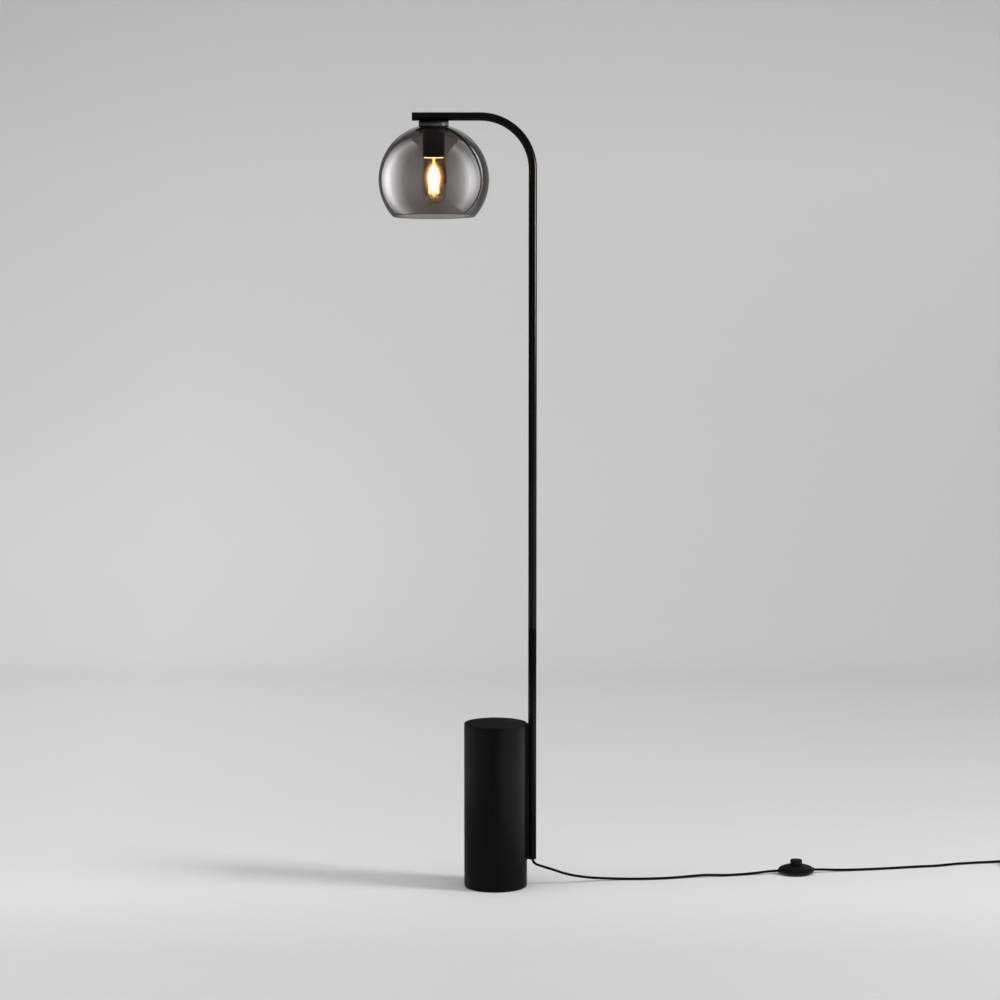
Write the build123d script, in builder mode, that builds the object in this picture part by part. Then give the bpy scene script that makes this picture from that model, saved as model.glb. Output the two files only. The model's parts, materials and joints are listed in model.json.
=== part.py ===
from build123d import *
from math import asin, cos, dist, pi, radians, sin, sqrt, tan
import os

# Globe floor lamp, in millimetres. The origin is the middle of the base's underside, on the
# floor. +Z is up, +X points from the base to the pole, and the arm reaches back towards -X.

# --- Clearances ---------------------------------------------------------------------------
seat_gap = 0.1  # round faces that seat on each other
thread_gap = 0.06  # radial gap of a screw thread, which is modelled plain
slide_gap = 0.3  # round the foot switch's button
edge_break = 0.5  # chamfer on turned metal edges

# --- Overall ------------------------------------------------------------------------------
overall_height = 1500.0
tube_dia = 16.0
tube_wall = 1.5
bend_radius = 100.0  # of the tube's centre line
arm_reach = 230.0  # from the pole's axis to the arm's end
globe_from_arm_end = 41.5  # to the globe's axis
pole_foot_height = 54.0  # the pole's lower end hangs above the floor
pole_joint_height = 508.0

# --- Base ---------------------------------------------------------------------------------
base_dia = 122.0
base_height = 322.0
base_wall = 2.0
lid_thickness = 3.0
lid_spigot_depth = 8.0
lid_spigot_wall = 3.0
lid_boss_dia = 18.0
lid_boss_depth = 12.0
foot_pad_thickness = 2.0
foot_pad_inset = 3.0
plate_thickness = 2.0
plate_inset = 0.5
plate_spigot_height = 3.0
plate_spigot_wall = 2.0
dish_dia = 30.0
dish_depth = 10.0
dish_wall = 2.0
ballast_inset = 2.5  # between the ballast and the plate's spigot
ballast_height = 76.0
ballast_edge = 1.5
ballast_bore_dia = 9.2

rod_dia = 8.0
rod_play = 0.2  # radial, where the rod passes through a plate
rod_nut_across = 13.0
rod_nut_height = 6.5
rod_washer_dia = 16.0
rod_washer_thickness = 1.6
rod_below_nut = 1.0
rod_in_lid = 10.0

# --- Pole to base -------------------------------------------------------------------------
spine_thickness = 2.0
spine_width = 10.0
spine_top_inset = 1.0
lowest_bolt_height = 110.0
top_bolt_below_lid = 29.0
bolt_dia = 5.0
bolt_play = 0.25
bolt_head_dia = 8.5
bolt_head_height = 4.5
bolt_socket_across = 3.0
bolt_socket_depth = 2.2
bolt_washer_dia = 10.0
bolt_washer_thickness = 1.0
insert_dia = 6.6
insert_flange_dia = 8.8
insert_flange_thickness = 0.8
insert_depth = 4.5  # behind its flange
bolt_short_of_insert = 0.2

coupler_length = 60.0
coupler_bore_dia = 8.0
bushing_recess = 6.0
bushing_length = 10.0
bushing_round = 1.0

# --- Arm end and lamp suspension ----------------------------------------------------------
end_cap_flange = 1.2
end_cap_depth = 9.0
end_cap_wall = 2.0
end_cap_edge = 0.3
arm_nut_length = 22.0
arm_nut_cord_bore = 7.2
arm_nut_blind = 3.2  # the cross hole's depth past the arm's axis
nipple_dia = 10.0
nipple_bore = 8.0
nipple_in_arm = 4.5
nipple_length = 18.5
locknut_across = 14.0
locknut_height = 4.0

# --- Glass globe and what clamps it -------------------------------------------------------
globe_dia = 210.4
glass_wall = 2.5
globe_drop = 6.3  # from the arm's underside to the top of the sphere
mouth_depth = 70.7  # from the sphere's centre down to the open rim
neck_hole_dia = 45.0
rim_round = 1.1
neck_edge_round = 0.4
cup_dia = 57.0
cup_wall = 2.0
cup_plate = 2.5
cup_edge_round = 1.0
cup_gasket_thickness = 1.7
cup_gasket_width = 3.6
ring_dia = 56.0
ring_height = 9.4
ring_plate = 2.5
ring_hub_wall = 2.7
ring_rim_wall = 2.2
ring_grips = 24
ring_grip_dia = 2.0
ring_grip_depth = 0.5
ring_gasket_thickness = 1.9
ring_gasket_width = 4.4

# --- Lampholder ---------------------------------------------------------------------------
holder_dia = 42.4
holder_wall = 2.0
holder_top_plate = 3.0
holder_length = 62.0
holder_cap_length = 25.2
holder_spigot = 6.0
holder_edge_round = 1.0
core_dia = 36.0
core_length = 23.0
core_plate = 4.4
core_ledge_width = 0.8
core_ledge_height = 3.0
core_to_split = 15.0  # the core's lower face below the holder's joint
shell_dia = 28.6
shell_wall = 0.8
shell_length = 24.5
shell_lip_width = 5.0
stud_dia = 3.0
stud_head_dia = 7.0
stud_head_height = 1.4
stud_above_core = 3.0
side_stud_head_dia = 4.6

# --- Bulb ---------------------------------------------------------------------------------
bulb_dia = 46.0
bulb_glass_wall = 0.8
bulb_neck_dia = 25.0
bulb_cap_dia = 26.4
bulb_cap_wall = 0.5
bulb_cap_length = 22.0
bulb_cap_lip = 2.7
bulb_insulator_height = 3.0
bulb_insulator_step = 0.8
bulb_contact_dia = 9.6
bulb_contact_height = 1.0
bulb_neck_length = 16.0  # of the glass neck inside the cap
bulb_shoulder_dia = 36.8  # where the envelope passes the holder's mouth
bulb_shoulder_drop = 14.5  # drops are counted from the cap's lower edge
bulb_widest_drop = 56.5
bulb_straight_length = 23.8
bulb_neck_round = 4.0
bulb_shoulder_round = 18.0
stem_flare_dia = 23.0
stem_flare_thickness = 1.2
stem_neck_dia = 9.0
stem_neck_drop = -4.0
stem_dia = 5.0
stem_waist_drop = 4.0
stem_drop = 32.0
stem_rod_dia = 2.0
stem_rod_drop = 88.0
filament_count = 4
filament_dia = 2.0
filament_top_radius = 8.5
filament_bottom_radius = 11.5
filament_top_drop = 37.0
filament_bottom_drop = 83.0
filament_end_gap = 0.15
lead_dia = 0.8

# --- Cord ---------------------------------------------------------------------------------
cord_dia = 5.0
cord_play = 0.2
floor_gap = 0.1
inner_cord_bend = 6.0

# --- Foot switch --------------------------------------------------------------------------
switch_x = 592.6
switch_y = 112.0
switch_turn = 8.0  # degrees, the cord's heading through it
switch_dia = 70.0
switch_wall = 2.0
switch_skirt_height = 0.8
switch_widest_height = 6.8
switch_shoulder_round = 6.5
switch_shoulder_angle = 66.0  # where the rounded shoulder runs into the crown
switch_lip = 1.0
button_dia = 23.5
button_height = 28.0  # its top above the floor
button_wall = 1.8
button_round = 2.0
button_flange_width = 1.8
button_flange_thickness = 1.5
button_travel = 3.0
button_post_dia = 4.0
spring_dia = 9.4
spring_wire = 0.9
spring_turns = 6
switch_ring_dia = 34.0
switch_ring_bore = 20.0
switch_ring_thickness = 1.0
switch_plate_thickness = 2.0
mechanism_length = 18.0
mechanism_width = 13.0
mechanism_height = 7.0
plunger_dia = 5.0
plunger_height = 3.0
cord_hole_height = 6.6
cord_end_radius = 19.5  # where the cord ends, from the switch's axis
terminal_length = 6.0
terminal_width = 4.0
terminal_height = 5.6
terminal_spacing = 7.0
terminal_screw_dia = 2.6
terminal_screw_height = 0.7
clamp_length = 4.5
clamp_width = 11.0
clamp_bridge = 1.4
clamp_from_cord_end = 1.8
grommet_wall = 1.1
grommet_lip = 0.8
grommet_tail = 2.0
post_radius = 21.5
post_dia = 6.0
post_angles = (90.0, 215.0, 325.0)
screw_dia = 2.9
screw_head_dia = 5.4
screw_head_height = 1.3
screw_length = 9.0
screw_play = 0.2

# --- Coil of spare cord -------------------------------------------------------------------
coil_x = 1055.0
coil_y = 175.0
coil_mean_radius = 27.5
coil_layers = 4
coil_turns_per_layer = 1.6875
coil_turn_pitch = 6.4
coil_layer_pitch = 5.7
tie_thickness = 0.9
tie_width = 9.0
tie_play = 0.4
tie_angle = 225.0
tie_round = 3.0

# --- Plug ---------------------------------------------------------------------------------
plug_width = 35.3
plug_height = 13.7
plug_length = 34.0
plug_tail_width = 14.0
plug_collar_length = 9.0
plug_edge_round = 3.0
plug_relief_length = 22.0
plug_relief_dia = 7.4
plug_relief_root_dia = 11.0
pin_dia = 4.0
pin_tip_edge = 1.0
pin_length = 19.0
pin_spacing = 18.6
pin_embedded = 11.0
sleeve_length = 10.0
sleeve_dia = 3.6
sleeve_wall = 0.4

# --- Places worked out from the sizes above -----------------------------------------------
tube_r = tube_dia / 2
bore_r = tube_r - tube_wall
base_r = base_dia / 2
base_bore_r = base_r - base_wall
pole_x = base_r + spine_thickness + tube_r
arm_z = overall_height - tube_r
arm_underside = arm_z - tube_r
arm_end_x = pole_x - arm_reach
globe_x = arm_end_x + globe_from_arm_end
cord_r = cord_dia / 2

plate_bottom = foot_pad_thickness
tube_bottom = plate_bottom + plate_thickness
lid_bottom = base_height - lid_thickness
top_bolt_height = lid_bottom - top_bolt_below_lid
bolt_heights = (lowest_bolt_height, (lowest_bolt_height + top_bolt_height) / 2, top_bolt_height)
dish_top = tube_bottom + dish_depth
ballast_top = tube_bottom + ballast_height

globe_r = globe_dia / 2
globe_inner_r = globe_r - glass_wall
globe_z = arm_underside - globe_drop - globe_r


def sphere_height(radius, distance):
    """Height of the globe's face of this radius at a distance from its axis."""
    return globe_z + sqrt(radius**2 - distance**2)


cup_r = cup_dia / 2
cup_top = arm_underside - seat_gap
cup_bottom = sphere_height(globe_r, cup_r) + cup_gasket_thickness
ring_r = ring_dia / 2
ring_top = sphere_height(globe_inner_r, ring_r) - ring_gasket_thickness
ring_bottom = ring_top - ring_height

locknut_top = cup_top - cup_plate
locknut_bottom = locknut_top - locknut_height
nipple_top = arm_underside + nipple_in_arm
nipple_bottom = nipple_top - nipple_length

holder_r = holder_dia / 2
holder_bore_r = holder_r - holder_wall
holder_top = locknut_bottom
holder_split = holder_top - holder_cap_length
holder_mouth = holder_top - holder_length
core_r = core_dia / 2
core_bottom = holder_split - core_to_split
core_top = core_bottom + core_length
core_ceiling = core_top - core_plate
contact_face = core_ceiling - stud_head_height
stud_top = core_top + stud_above_core

bulb_contact_top = contact_face
bulb_cap_top = bulb_contact_top - bulb_contact_height - bulb_insulator_height
bulb_cap_bottom = bulb_cap_top - bulb_cap_length

cord_exit_z = pole_foot_height + bushing_recess

# --- Cord routes: their points are chosen by hand -----------------------------------------
switch_heading = (cos(radians(switch_turn)), sin(radians(switch_turn)))


def beside_switch(distance):
    """A point on the line of the switch's two cord holes."""
    return (
        switch_x + distance * switch_heading[0],
        switch_y + distance * switch_heading[1],
        cord_hole_height,
    )


floor_line = cord_r + floor_gap
cord_hole_approach = 47.0

route_to_switch = [
    (pole_x, 0.0, cord_exit_z),
    (71.4, 0.1, 51.5),
    (76.8, 0.9, 43.4),
    (89.5, 3.6, 38.6),
    (110.0, 9.5, 31.0),
    (139.0, 20.5, 18.6),
    (174.0, 35.5, 9.4),
    (211.0, 47.5, 4.4),
    (252.0, 51.5, floor_line),
    (300.0, 51.8, floor_line),
    (345.0, 60.5, floor_line),
    (382.0, 72.5, 3.2),
    (404.0, 77.0, 4.2),
    (426.0, 79.5, 4.1),
    (450.0, 83.0, floor_line),
    (484.0, 91.5, floor_line),
    (514.0, 99.5, 3.6),
    beside_switch(-cord_hole_approach),
    beside_switch(-cord_end_radius),
]

coil_bottom = tie_thickness + 2 * floor_gap + tie_play
coil_first_z = coil_bottom + cord_r
coil_top_z = coil_first_z + (coil_layers - 1) * coil_layer_pitch
coil_span = coil_turns_per_layer * coil_turn_pitch
coil_inner_r = coil_mean_radius - coil_span / 2
coil_outer_r = coil_mean_radius + coil_span / 2
coil_entry = (coil_x - cord_dia, coil_y + coil_outer_r, coil_first_z)
coil_exit = (coil_x + coil_outer_r, coil_y - cord_dia, coil_top_z)

route_to_coil = [
    beside_switch(cord_end_radius),
    beside_switch(cord_hole_approach),
    (672.0, 126.5, 3.6),
    (710.0, 133.5, floor_line),
    (752.0, 140.5, floor_line),
    (795.0, 151.0, floor_line),
    (838.0, 162.0, floor_line),
    (878.0, 169.5, floor_line),
    (914.0, 187.0, floor_line),
    (952.0, 197.5, floor_line),
    (988.0, 203.5, 2.9),
    (1019.0, coil_entry[1], coil_first_z),
    coil_entry,
]

plug_x = coil_exit[0]
plug_z = plug_height / 2 + floor_gap
plug_face_y = 30.0
plug_back_y = plug_face_y + plug_length
plug_cord_y = plug_back_y + plug_relief_length

route_to_plug = [
    coil_exit,
    (coil_exit[0] + 0.2, 152.0, coil_top_z - 0.3),
    (coil_exit[0] + 0.6, 127.0, 13.6),
    (coil_exit[0] + 0.2, 104.0, plug_z + 0.2),
    (plug_x, plug_cord_y, plug_z),
]


# --- Shared shapes ------------------------------------------------------------------------
def upright(x, y=0.0, turn=0.0):
    """Sketch plane through a vertical axis: local x is the radius and local y the height."""
    return Plane(
        origin=(x, y, 0),
        x_dir=(cos(radians(turn)), sin(radians(turn)), 0),
        z_dir=(sin(radians(turn)), -cos(radians(turn)), 0),
    )


def turned(x, y, *points):
    """Turn a profile of (radius, height) points about a vertical axis."""
    with BuildSketch(upright(x, y)) as profile:
        Polygon(*points, align=None)
    revolve(profile.sketch, axis=Axis((x, y, 0), (0, 0, 1)))


def turned_along_x(z, *points):
    """Turn a profile of (place along X, radius) points about a line along X at this height."""
    with BuildSketch(Plane(origin=(0, 0, z), x_dir=(1, 0, 0), z_dir=(0, -1, 0))) as profile:
        Polygon(*points, align=None)
    revolve(profile.sketch, axis=Axis((0, 0, z), (1, 0, 0)))


def turned_along_y(x, z, *points):
    """Turn a profile of (place along Y, radius) points about a line along Y."""
    with BuildSketch(Plane(origin=(x, 0, z), x_dir=(0, 1, 0), z_dir=(1, 0, 0))) as profile:
        Polygon(*points, align=None)
    revolve(profile.sketch, axis=Axis((x, 0, z), (0, 1, 0)))


def hex_nut(x, bottom, across, height, bore_dia):
    """A hexagon nut about a vertical axis."""
    with BuildSketch(Plane.XY.offset(bottom)) as hexagon:
        with Locations((x, 0)):
            RegularPolygon(across / 2, 6, major_radius=False)
            Circle(bore_dia / 2, mode=Mode.SUBTRACT)
    extrude(hexagon.sketch, amount=height)


def save(part, name):
    part.label = name
    export_step(part, f"parts/{name}.step")


os.makedirs("parts", exist_ok=True)

# --- Base tube ----------------------------------------------------------------------------
with BuildPart() as base_tube:
    with BuildSketch(Plane.XY.offset(tube_bottom)):
        Circle(base_r)
        Circle(base_bore_r, mode=Mode.SUBTRACT)
    extrude(amount=lid_bottom - tube_bottom)
    with BuildSketch(Plane.YZ):
        with Locations(*[(0, height) for height in bolt_heights]):
            Circle(bolt_dia / 2 + bolt_play)
    extrude(amount=base_dia, mode=Mode.SUBTRACT)
save(base_tube.part, "base_tube")

# --- Base lid: a disc whose spigot centres it in the tube, with a boss for the tie rod ------
spigot_r = base_bore_r - seat_gap
rod_hole_r = rod_dia / 2 + thread_gap
with BuildPart() as base_lid:
    turned(
        0,
        0,
        (rod_hole_r, lid_bottom - lid_boss_depth),
        (lid_boss_dia / 2, lid_bottom - lid_boss_depth),
        (lid_boss_dia / 2, lid_bottom),
        (spigot_r - lid_spigot_wall, lid_bottom),
        (spigot_r - lid_spigot_wall, lid_bottom - lid_spigot_depth),
        (spigot_r, lid_bottom - lid_spigot_depth),
        (spigot_r, lid_bottom),
        (base_r - edge_break, lid_bottom),
        (base_r, lid_bottom + edge_break),
        (base_r, base_height - edge_break),
        (base_r - edge_break, base_height),
        (0, base_height),
        (0, lid_bottom),
        (rod_hole_r, lid_bottom),
    )
save(base_lid.part, "base_lid")

# --- Bottom plate: carries the tube's edge, and its dish hides the tie rod's nut ------------
dish_r = dish_dia / 2
rod_pass_r = rod_dia / 2 + rod_play
with BuildPart() as base_plate:
    turned(
        0,
        0,
        (rod_pass_r, dish_top - dish_wall),
        (dish_r - dish_wall, dish_top - dish_wall),
        (dish_r - dish_wall, plate_bottom),
        (base_r - plate_inset, plate_bottom),
        (base_r - plate_inset, tube_bottom),
        (spigot_r, tube_bottom),
        (spigot_r, tube_bottom + plate_spigot_height),
        (spigot_r - plate_spigot_wall, tube_bottom + plate_spigot_height),
        (spigot_r - plate_spigot_wall, tube_bottom),
        (dish_r, tube_bottom),
        (dish_r, dish_top),
        (rod_pass_r, dish_top),
    )
save(base_plate.part, "base_plate")

# --- Ballast: a casting that sits on the plate, round the dish ------------------------------
ballast_r = spigot_r - plate_spigot_wall - ballast_inset
with BuildPart() as ballast:
    turned(
        0,
        0,
        (ballast_bore_dia / 2, dish_top + rod_play),
        (dish_r + ballast_edge, dish_top + rod_play),
        (dish_r + ballast_edge, tube_bottom),
        (ballast_r - ballast_edge, tube_bottom),
        (ballast_r, tube_bottom + ballast_edge),
        (ballast_r, ballast_top - ballast_edge),
        (ballast_r - ballast_edge, ballast_top),
        (ballast_bore_dia / 2, ballast_top),
    )
save(ballast.part, "ballast")

# --- Foot pad: one disc over the whole underside --------------------------------------------
with BuildPart() as foot_pad:
    with BuildSketch():
        Circle(base_r - foot_pad_inset)
    extrude(amount=foot_pad_thickness)
save(foot_pad.part, "foot_pad")

# --- Tie rod, which pulls the lid and the plate together, with its nuts and washers ----------
low_washer_bottom = dish_top - dish_wall - rod_washer_thickness
low_nut_bottom = low_washer_bottom - rod_nut_height
rod_bottom = low_nut_bottom - rod_below_nut
rod_top = lid_bottom - lid_boss_depth + rod_in_lid
with BuildPart() as tie_rod:
    with BuildSketch(Plane.XY.offset(rod_bottom)):
        Circle(rod_dia / 2)
    extrude(amount=rod_top - rod_bottom)
    chamfer(tie_rod.edges().filter_by(GeomType.CIRCLE), length=edge_break)
save(tie_rod.part, "tie_rod")

with BuildPart() as tie_rod_nuts:
    hex_nut(0, low_nut_bottom, rod_nut_across, rod_nut_height, 2 * rod_hole_r)
    hex_nut(0, ballast_top + rod_washer_thickness, rod_nut_across, rod_nut_height, 2 * rod_hole_r)
save(tie_rod_nuts.part, "tie_rod_nuts")

with BuildPart() as tie_rod_washers:
    for bottom in (low_washer_bottom, ballast_top):
        with BuildSketch(Plane.XY.offset(bottom)):
            Circle(rod_washer_dia / 2)
            Circle(rod_pass_r, mode=Mode.SUBTRACT)
        extrude(amount=rod_washer_thickness)
save(tie_rod_washers.part, "tie_rod_washers")

# --- Spine: the strip between the base and the pole, hollowed to both ------------------------
spine_top = base_height - spine_top_inset
pole_near_x = pole_x - tube_r
insert_flange_face = pole_near_x - seat_gap - insert_flange_thickness
with BuildPart() as pole_spine:
    with BuildSketch(Plane.XY.offset(pole_foot_height)):
        with Locations((pole_x, 0)):
            Rectangle(2 * (pole_x - base_bore_r), spine_width)
        with Locations((pole_x, 0)):
            Rectangle(
                2 * (pole_x - base_bore_r),
                2 * spine_width,
                align=(Align.MIN, Align.CENTER),
                mode=Mode.SUBTRACT,
            )
            Circle(tube_r + seat_gap, mode=Mode.SUBTRACT)
        Circle(base_r + seat_gap, mode=Mode.SUBTRACT)
    extrude(amount=spine_top - pole_foot_height)
    with BuildSketch(Plane.YZ.offset(base_bore_r)):
        with Locations(*[(0, height) for height in bolt_heights]):
            Circle(bolt_dia / 2 + bolt_play)
    extrude(amount=pole_x - base_bore_r, mode=Mode.SUBTRACT)
    with BuildSketch(Plane.YZ.offset(insert_flange_face - seat_gap)):
        with Locations(*[(0, height) for height in bolt_heights]):
            Circle(insert_flange_dia / 2 + seat_gap)
    extrude(amount=tube_r, mode=Mode.SUBTRACT)
save(pole_spine.part, "pole_spine")

# --- Lower pole section ---------------------------------------------------------------------
with BuildPart() as pole_lower:
    with BuildSketch(Plane.XY.offset(pole_foot_height)):
        with Locations((pole_x, 0)):
            Circle(tube_r)
            Circle(bore_r, mode=Mode.SUBTRACT)
    extrude(amount=pole_joint_height - pole_foot_height)
    with BuildSketch(Plane.YZ):
        with Locations(*[(0, height) for height in bolt_heights]):
            Circle(insert_dia / 2 + seat_gap)
    extrude(amount=pole_x, mode=Mode.SUBTRACT)
save(pole_lower.part, "pole_lower")

# --- Upper pole section: one tube with the large bend and the arm ---------------------------
arm_tube_end = arm_end_x + end_cap_flange
with BuildPart() as pole_upper:
    with BuildLine(Plane.XZ) as upper_path:
        FilletPolyline(
            (pole_x, pole_joint_height), (pole_x, arm_z), (arm_tube_end, arm_z), radius=bend_radius
        )
    with BuildSketch(Plane.XY.offset(pole_joint_height)):
        with Locations((pole_x, 0)):
            Circle(tube_r)
            Circle(bore_r, mode=Mode.SUBTRACT)
    sweep(path=upper_path.wires()[0])
    with BuildSketch(Plane.XY.offset(arm_underside - tube_r)):
        with Locations((globe_x, 0)):
            Circle(nipple_dia / 2 + seat_gap)
    extrude(amount=2 * tube_r, mode=Mode.SUBTRACT)
save(pole_upper.part, "pole_upper")

# --- Coupler inside the pole's joint --------------------------------------------------------
plug_in_r = bore_r - seat_gap
with BuildPart() as pole_coupler:
    turned(
        pole_x,
        0,
        (coupler_bore_dia / 2, pole_joint_height - coupler_length / 2),
        (plug_in_r - edge_break, pole_joint_height - coupler_length / 2),
        (plug_in_r, pole_joint_height - coupler_length / 2 + edge_break),
        (plug_in_r, pole_joint_height + coupler_length / 2 - edge_break),
        (plug_in_r - edge_break, pole_joint_height + coupler_length / 2),
        (coupler_bore_dia / 2, pole_joint_height + coupler_length / 2),
    )
save(pole_coupler.part, "pole_coupler")

# --- Bolts, washers and inserts that hold the pole to the base -------------------------------
washer_face_x = sqrt(base_bore_r**2 - (bolt_washer_dia / 2) ** 2) - seat_gap
bolt_seat_x = washer_face_x - bolt_washer_thickness
insert_end_x = pole_near_x - seat_gap + insert_depth
with BuildPart() as pole_bolts:
    for height in bolt_heights:
        turned_along_x(
            height,
            (bolt_seat_x - bolt_head_height, 0),
            (bolt_seat_x - bolt_head_height, bolt_head_dia / 2 - edge_break),
            (bolt_seat_x - bolt_head_height + edge_break, bolt_head_dia / 2),
            (bolt_seat_x, bolt_head_dia / 2),
            (bolt_seat_x, bolt_dia / 2),
            (insert_end_x - bolt_short_of_insert, bolt_dia / 2),
            (insert_end_x - bolt_short_of_insert, 0),
        )
    with BuildSketch(Plane.YZ.offset(bolt_seat_x - bolt_head_height)):
        with Locations(*[(0, height) for height in bolt_heights]):
            RegularPolygon(bolt_socket_across / 2, 6, major_radius=False)
    extrude(amount=bolt_socket_depth, mode=Mode.SUBTRACT)
save(pole_bolts.part, "pole_bolts")

with BuildPart() as pole_bolt_washers:
    with BuildSketch(Plane.YZ.offset(bolt_seat_x)):
        with Locations(*[(0, height) for height in bolt_heights]):
            Circle(bolt_washer_dia / 2)
            Circle(bolt_dia / 2 + bolt_play, mode=Mode.SUBTRACT)
    extrude(amount=bolt_washer_thickness)
save(pole_bolt_washers.part, "pole_bolt_washers")

with BuildPart() as pole_inserts:
    for height in bolt_heights:
        turned_along_x(
            height,
            (insert_flange_face, bolt_dia / 2 + thread_gap),
            (insert_flange_face, insert_flange_dia / 2),
            (insert_flange_face + insert_flange_thickness, insert_flange_dia / 2),
            (insert_flange_face + insert_flange_thickness, insert_dia / 2),
            (insert_end_x, insert_dia / 2),
            (insert_end_x, bolt_dia / 2 + thread_gap),
        )
save(pole_inserts.part, "pole_inserts")

# --- Bushing that the cord comes out of, inside the pole's lower end --------------------------
with BuildPart() as cord_bushing:
    with BuildSketch(upright(pole_x)):
        with BuildLine():
            Polyline(
                (cord_r + seat_gap, cord_exit_z),
                (plug_in_r, cord_exit_z),
                (plug_in_r, cord_exit_z + bushing_length),
                (cord_r + seat_gap, cord_exit_z + bushing_length),
                close=True,
            )
        bushing_face = make_face()
        fillet(bushing_face.vertices().group_by(Axis.Y)[0], radius=bushing_round)
    revolve(axis=Axis((pole_x, 0, 0), (0, 0, 1)))
save(cord_bushing.part, "cord_bushing")

# --- Cap in the arm's end -------------------------------------------------------------------
with BuildPart() as arm_end_cap:
    turned_along_x(
        arm_z,
        (arm_end_x, 0),
        (arm_end_x, tube_r - end_cap_edge),
        (arm_end_x + end_cap_edge, tube_r),
        (arm_tube_end, tube_r),
        (arm_tube_end, plug_in_r),
        (arm_tube_end + end_cap_depth, plug_in_r),
        (arm_tube_end + end_cap_depth, plug_in_r - end_cap_wall),
        (arm_tube_end, plug_in_r - end_cap_wall),
        (arm_tube_end, 0),
    )
save(arm_end_cap.part, "arm_end_cap")

# --- Cross nut: slides into the arm, takes the nipple and leads the cord round into it ---------
with BuildPart() as arm_nut:
    with BuildSketch(Plane.YZ.offset(globe_x - arm_nut_length / 2)):
        with Locations((0, arm_z)):
            Circle(plug_in_r)
    extrude(amount=arm_nut_length)
    with BuildSketch(Plane.XY.offset(arm_z - tube_r)):
        with Locations((globe_x, 0)):
            Circle(nipple_dia / 2 + thread_gap)
    extrude(amount=tube_r + arm_nut_blind, mode=Mode.SUBTRACT)
    with BuildSketch(Plane.YZ.offset(globe_x)):
        with Locations((0, arm_z)):
            Circle(arm_nut_cord_bore / 2)
    extrude(amount=arm_nut_length, mode=Mode.SUBTRACT)
save(arm_nut.part, "arm_nut")

with BuildPart() as nipple:
    with BuildSketch(Plane.XY.offset(nipple_bottom)):
        with Locations((globe_x, 0)):
            Circle(nipple_dia / 2)
            Circle(nipple_bore / 2, mode=Mode.SUBTRACT)
    extrude(amount=nipple_length)
save(nipple.part, "nipple")

with BuildPart() as cup_locknut:
    hex_nut(globe_x, locknut_bottom, locknut_across, locknut_height, nipple_dia + 2 * thread_gap)
save(cup_locknut.part, "cup_locknut")

# --- Shade cup ------------------------------------------------------------------------------
nipple_pass_r = nipple_dia / 2 + seat_gap
with BuildPart() as shade_cup:
    with BuildSketch(upright(globe_x)):
        with BuildLine():
            Polyline(
                (nipple_pass_r, locknut_top),
                (cup_r - cup_wall, locknut_top),
                (cup_r - cup_wall, cup_bottom),
                (cup_r, cup_bottom),
                (cup_r, cup_top),
                (nipple_pass_r, cup_top),
                close=True,
            )
        cup_face = make_face()
        fillet(cup_face.vertices().group_by(Axis.Y)[-1].sort_by(Axis.X)[-1], radius=cup_edge_round)
    revolve(axis=Axis((globe_x, 0, 0), (0, 0, 1)))
save(shade_cup.part, "shade_cup")

cup_gasket_outer = cup_r - seat_gap
cup_gasket_inner = cup_gasket_outer - cup_gasket_width
with BuildPart() as cup_gasket:
    turned(
        globe_x,
        0,
        (cup_gasket_inner, sphere_height(globe_r, cup_gasket_inner) + seat_gap),
        (cup_gasket_outer, sphere_height(globe_r, cup_gasket_outer) + seat_gap),
        (cup_gasket_outer, cup_bottom),
        (cup_gasket_inner, cup_bottom),
    )
save(cup_gasket.part, "cup_gasket")

# --- Glass globe, open below, with a hole for the lampholder at its top ------------------------
neck_hole_r = neck_hole_dia / 2


def at_depth(radius, depth):
    """Point on the globe's face of this radius, at a depth below the centre."""
    return (sqrt(radius**2 - depth**2), globe_z - depth)


with BuildPart() as glass_shade:
    with BuildSketch(upright(globe_x)):
        neck_out = (neck_hole_r, sphere_height(globe_r, neck_hole_r))
        neck_in = (neck_hole_r, sphere_height(globe_inner_r, neck_hole_r))
        with BuildLine():
            ThreePointArc(neck_out, (globe_r, globe_z), at_depth(globe_r, mouth_depth))
            Line(at_depth(globe_r, mouth_depth), at_depth(globe_inner_r, mouth_depth))
            ThreePointArc(at_depth(globe_inner_r, mouth_depth), (globe_inner_r, globe_z), neck_in)
            Line(neck_in, neck_out)
        glass_face = make_face()
        fillet(glass_face.vertices().group_by(Axis.Y)[0], radius=rim_round)
        fillet(glass_face.vertices().group_by(Axis.X)[0], radius=neck_edge_round)
    revolve(axis=Axis((globe_x, 0, 0), (0, 0, 1)))
save(glass_shade.part, "glass_shade")

# --- Shade ring: screws up the lampholder and clamps the glass -------------------------------
ring_hub_r = holder_r + thread_gap
with BuildPart() as shade_ring:
    turned(
        globe_x,
        0,
        (ring_hub_r, ring_bottom),
        (ring_hub_r + ring_hub_wall, ring_bottom),
        (ring_hub_r + ring_hub_wall, ring_top - ring_plate),
        (ring_r - ring_rim_wall, ring_top - ring_plate),
        (ring_r - ring_rim_wall, ring_bottom),
        (ring_r - edge_break, ring_bottom),
        (ring_r, ring_bottom + edge_break),
        (ring_r, ring_top - edge_break),
        (ring_r - edge_break, ring_top),
        (ring_hub_r, ring_top),
    )
    with BuildSketch(Plane.XY.offset(ring_bottom - edge_break)):
        with Locations((globe_x, 0)):
            with PolarLocations(ring_r + ring_grip_dia / 2 - ring_grip_depth, ring_grips):
                Circle(ring_grip_dia / 2)
    extrude(amount=ring_height, mode=Mode.SUBTRACT)
save(shade_ring.part, "shade_ring")

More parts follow.
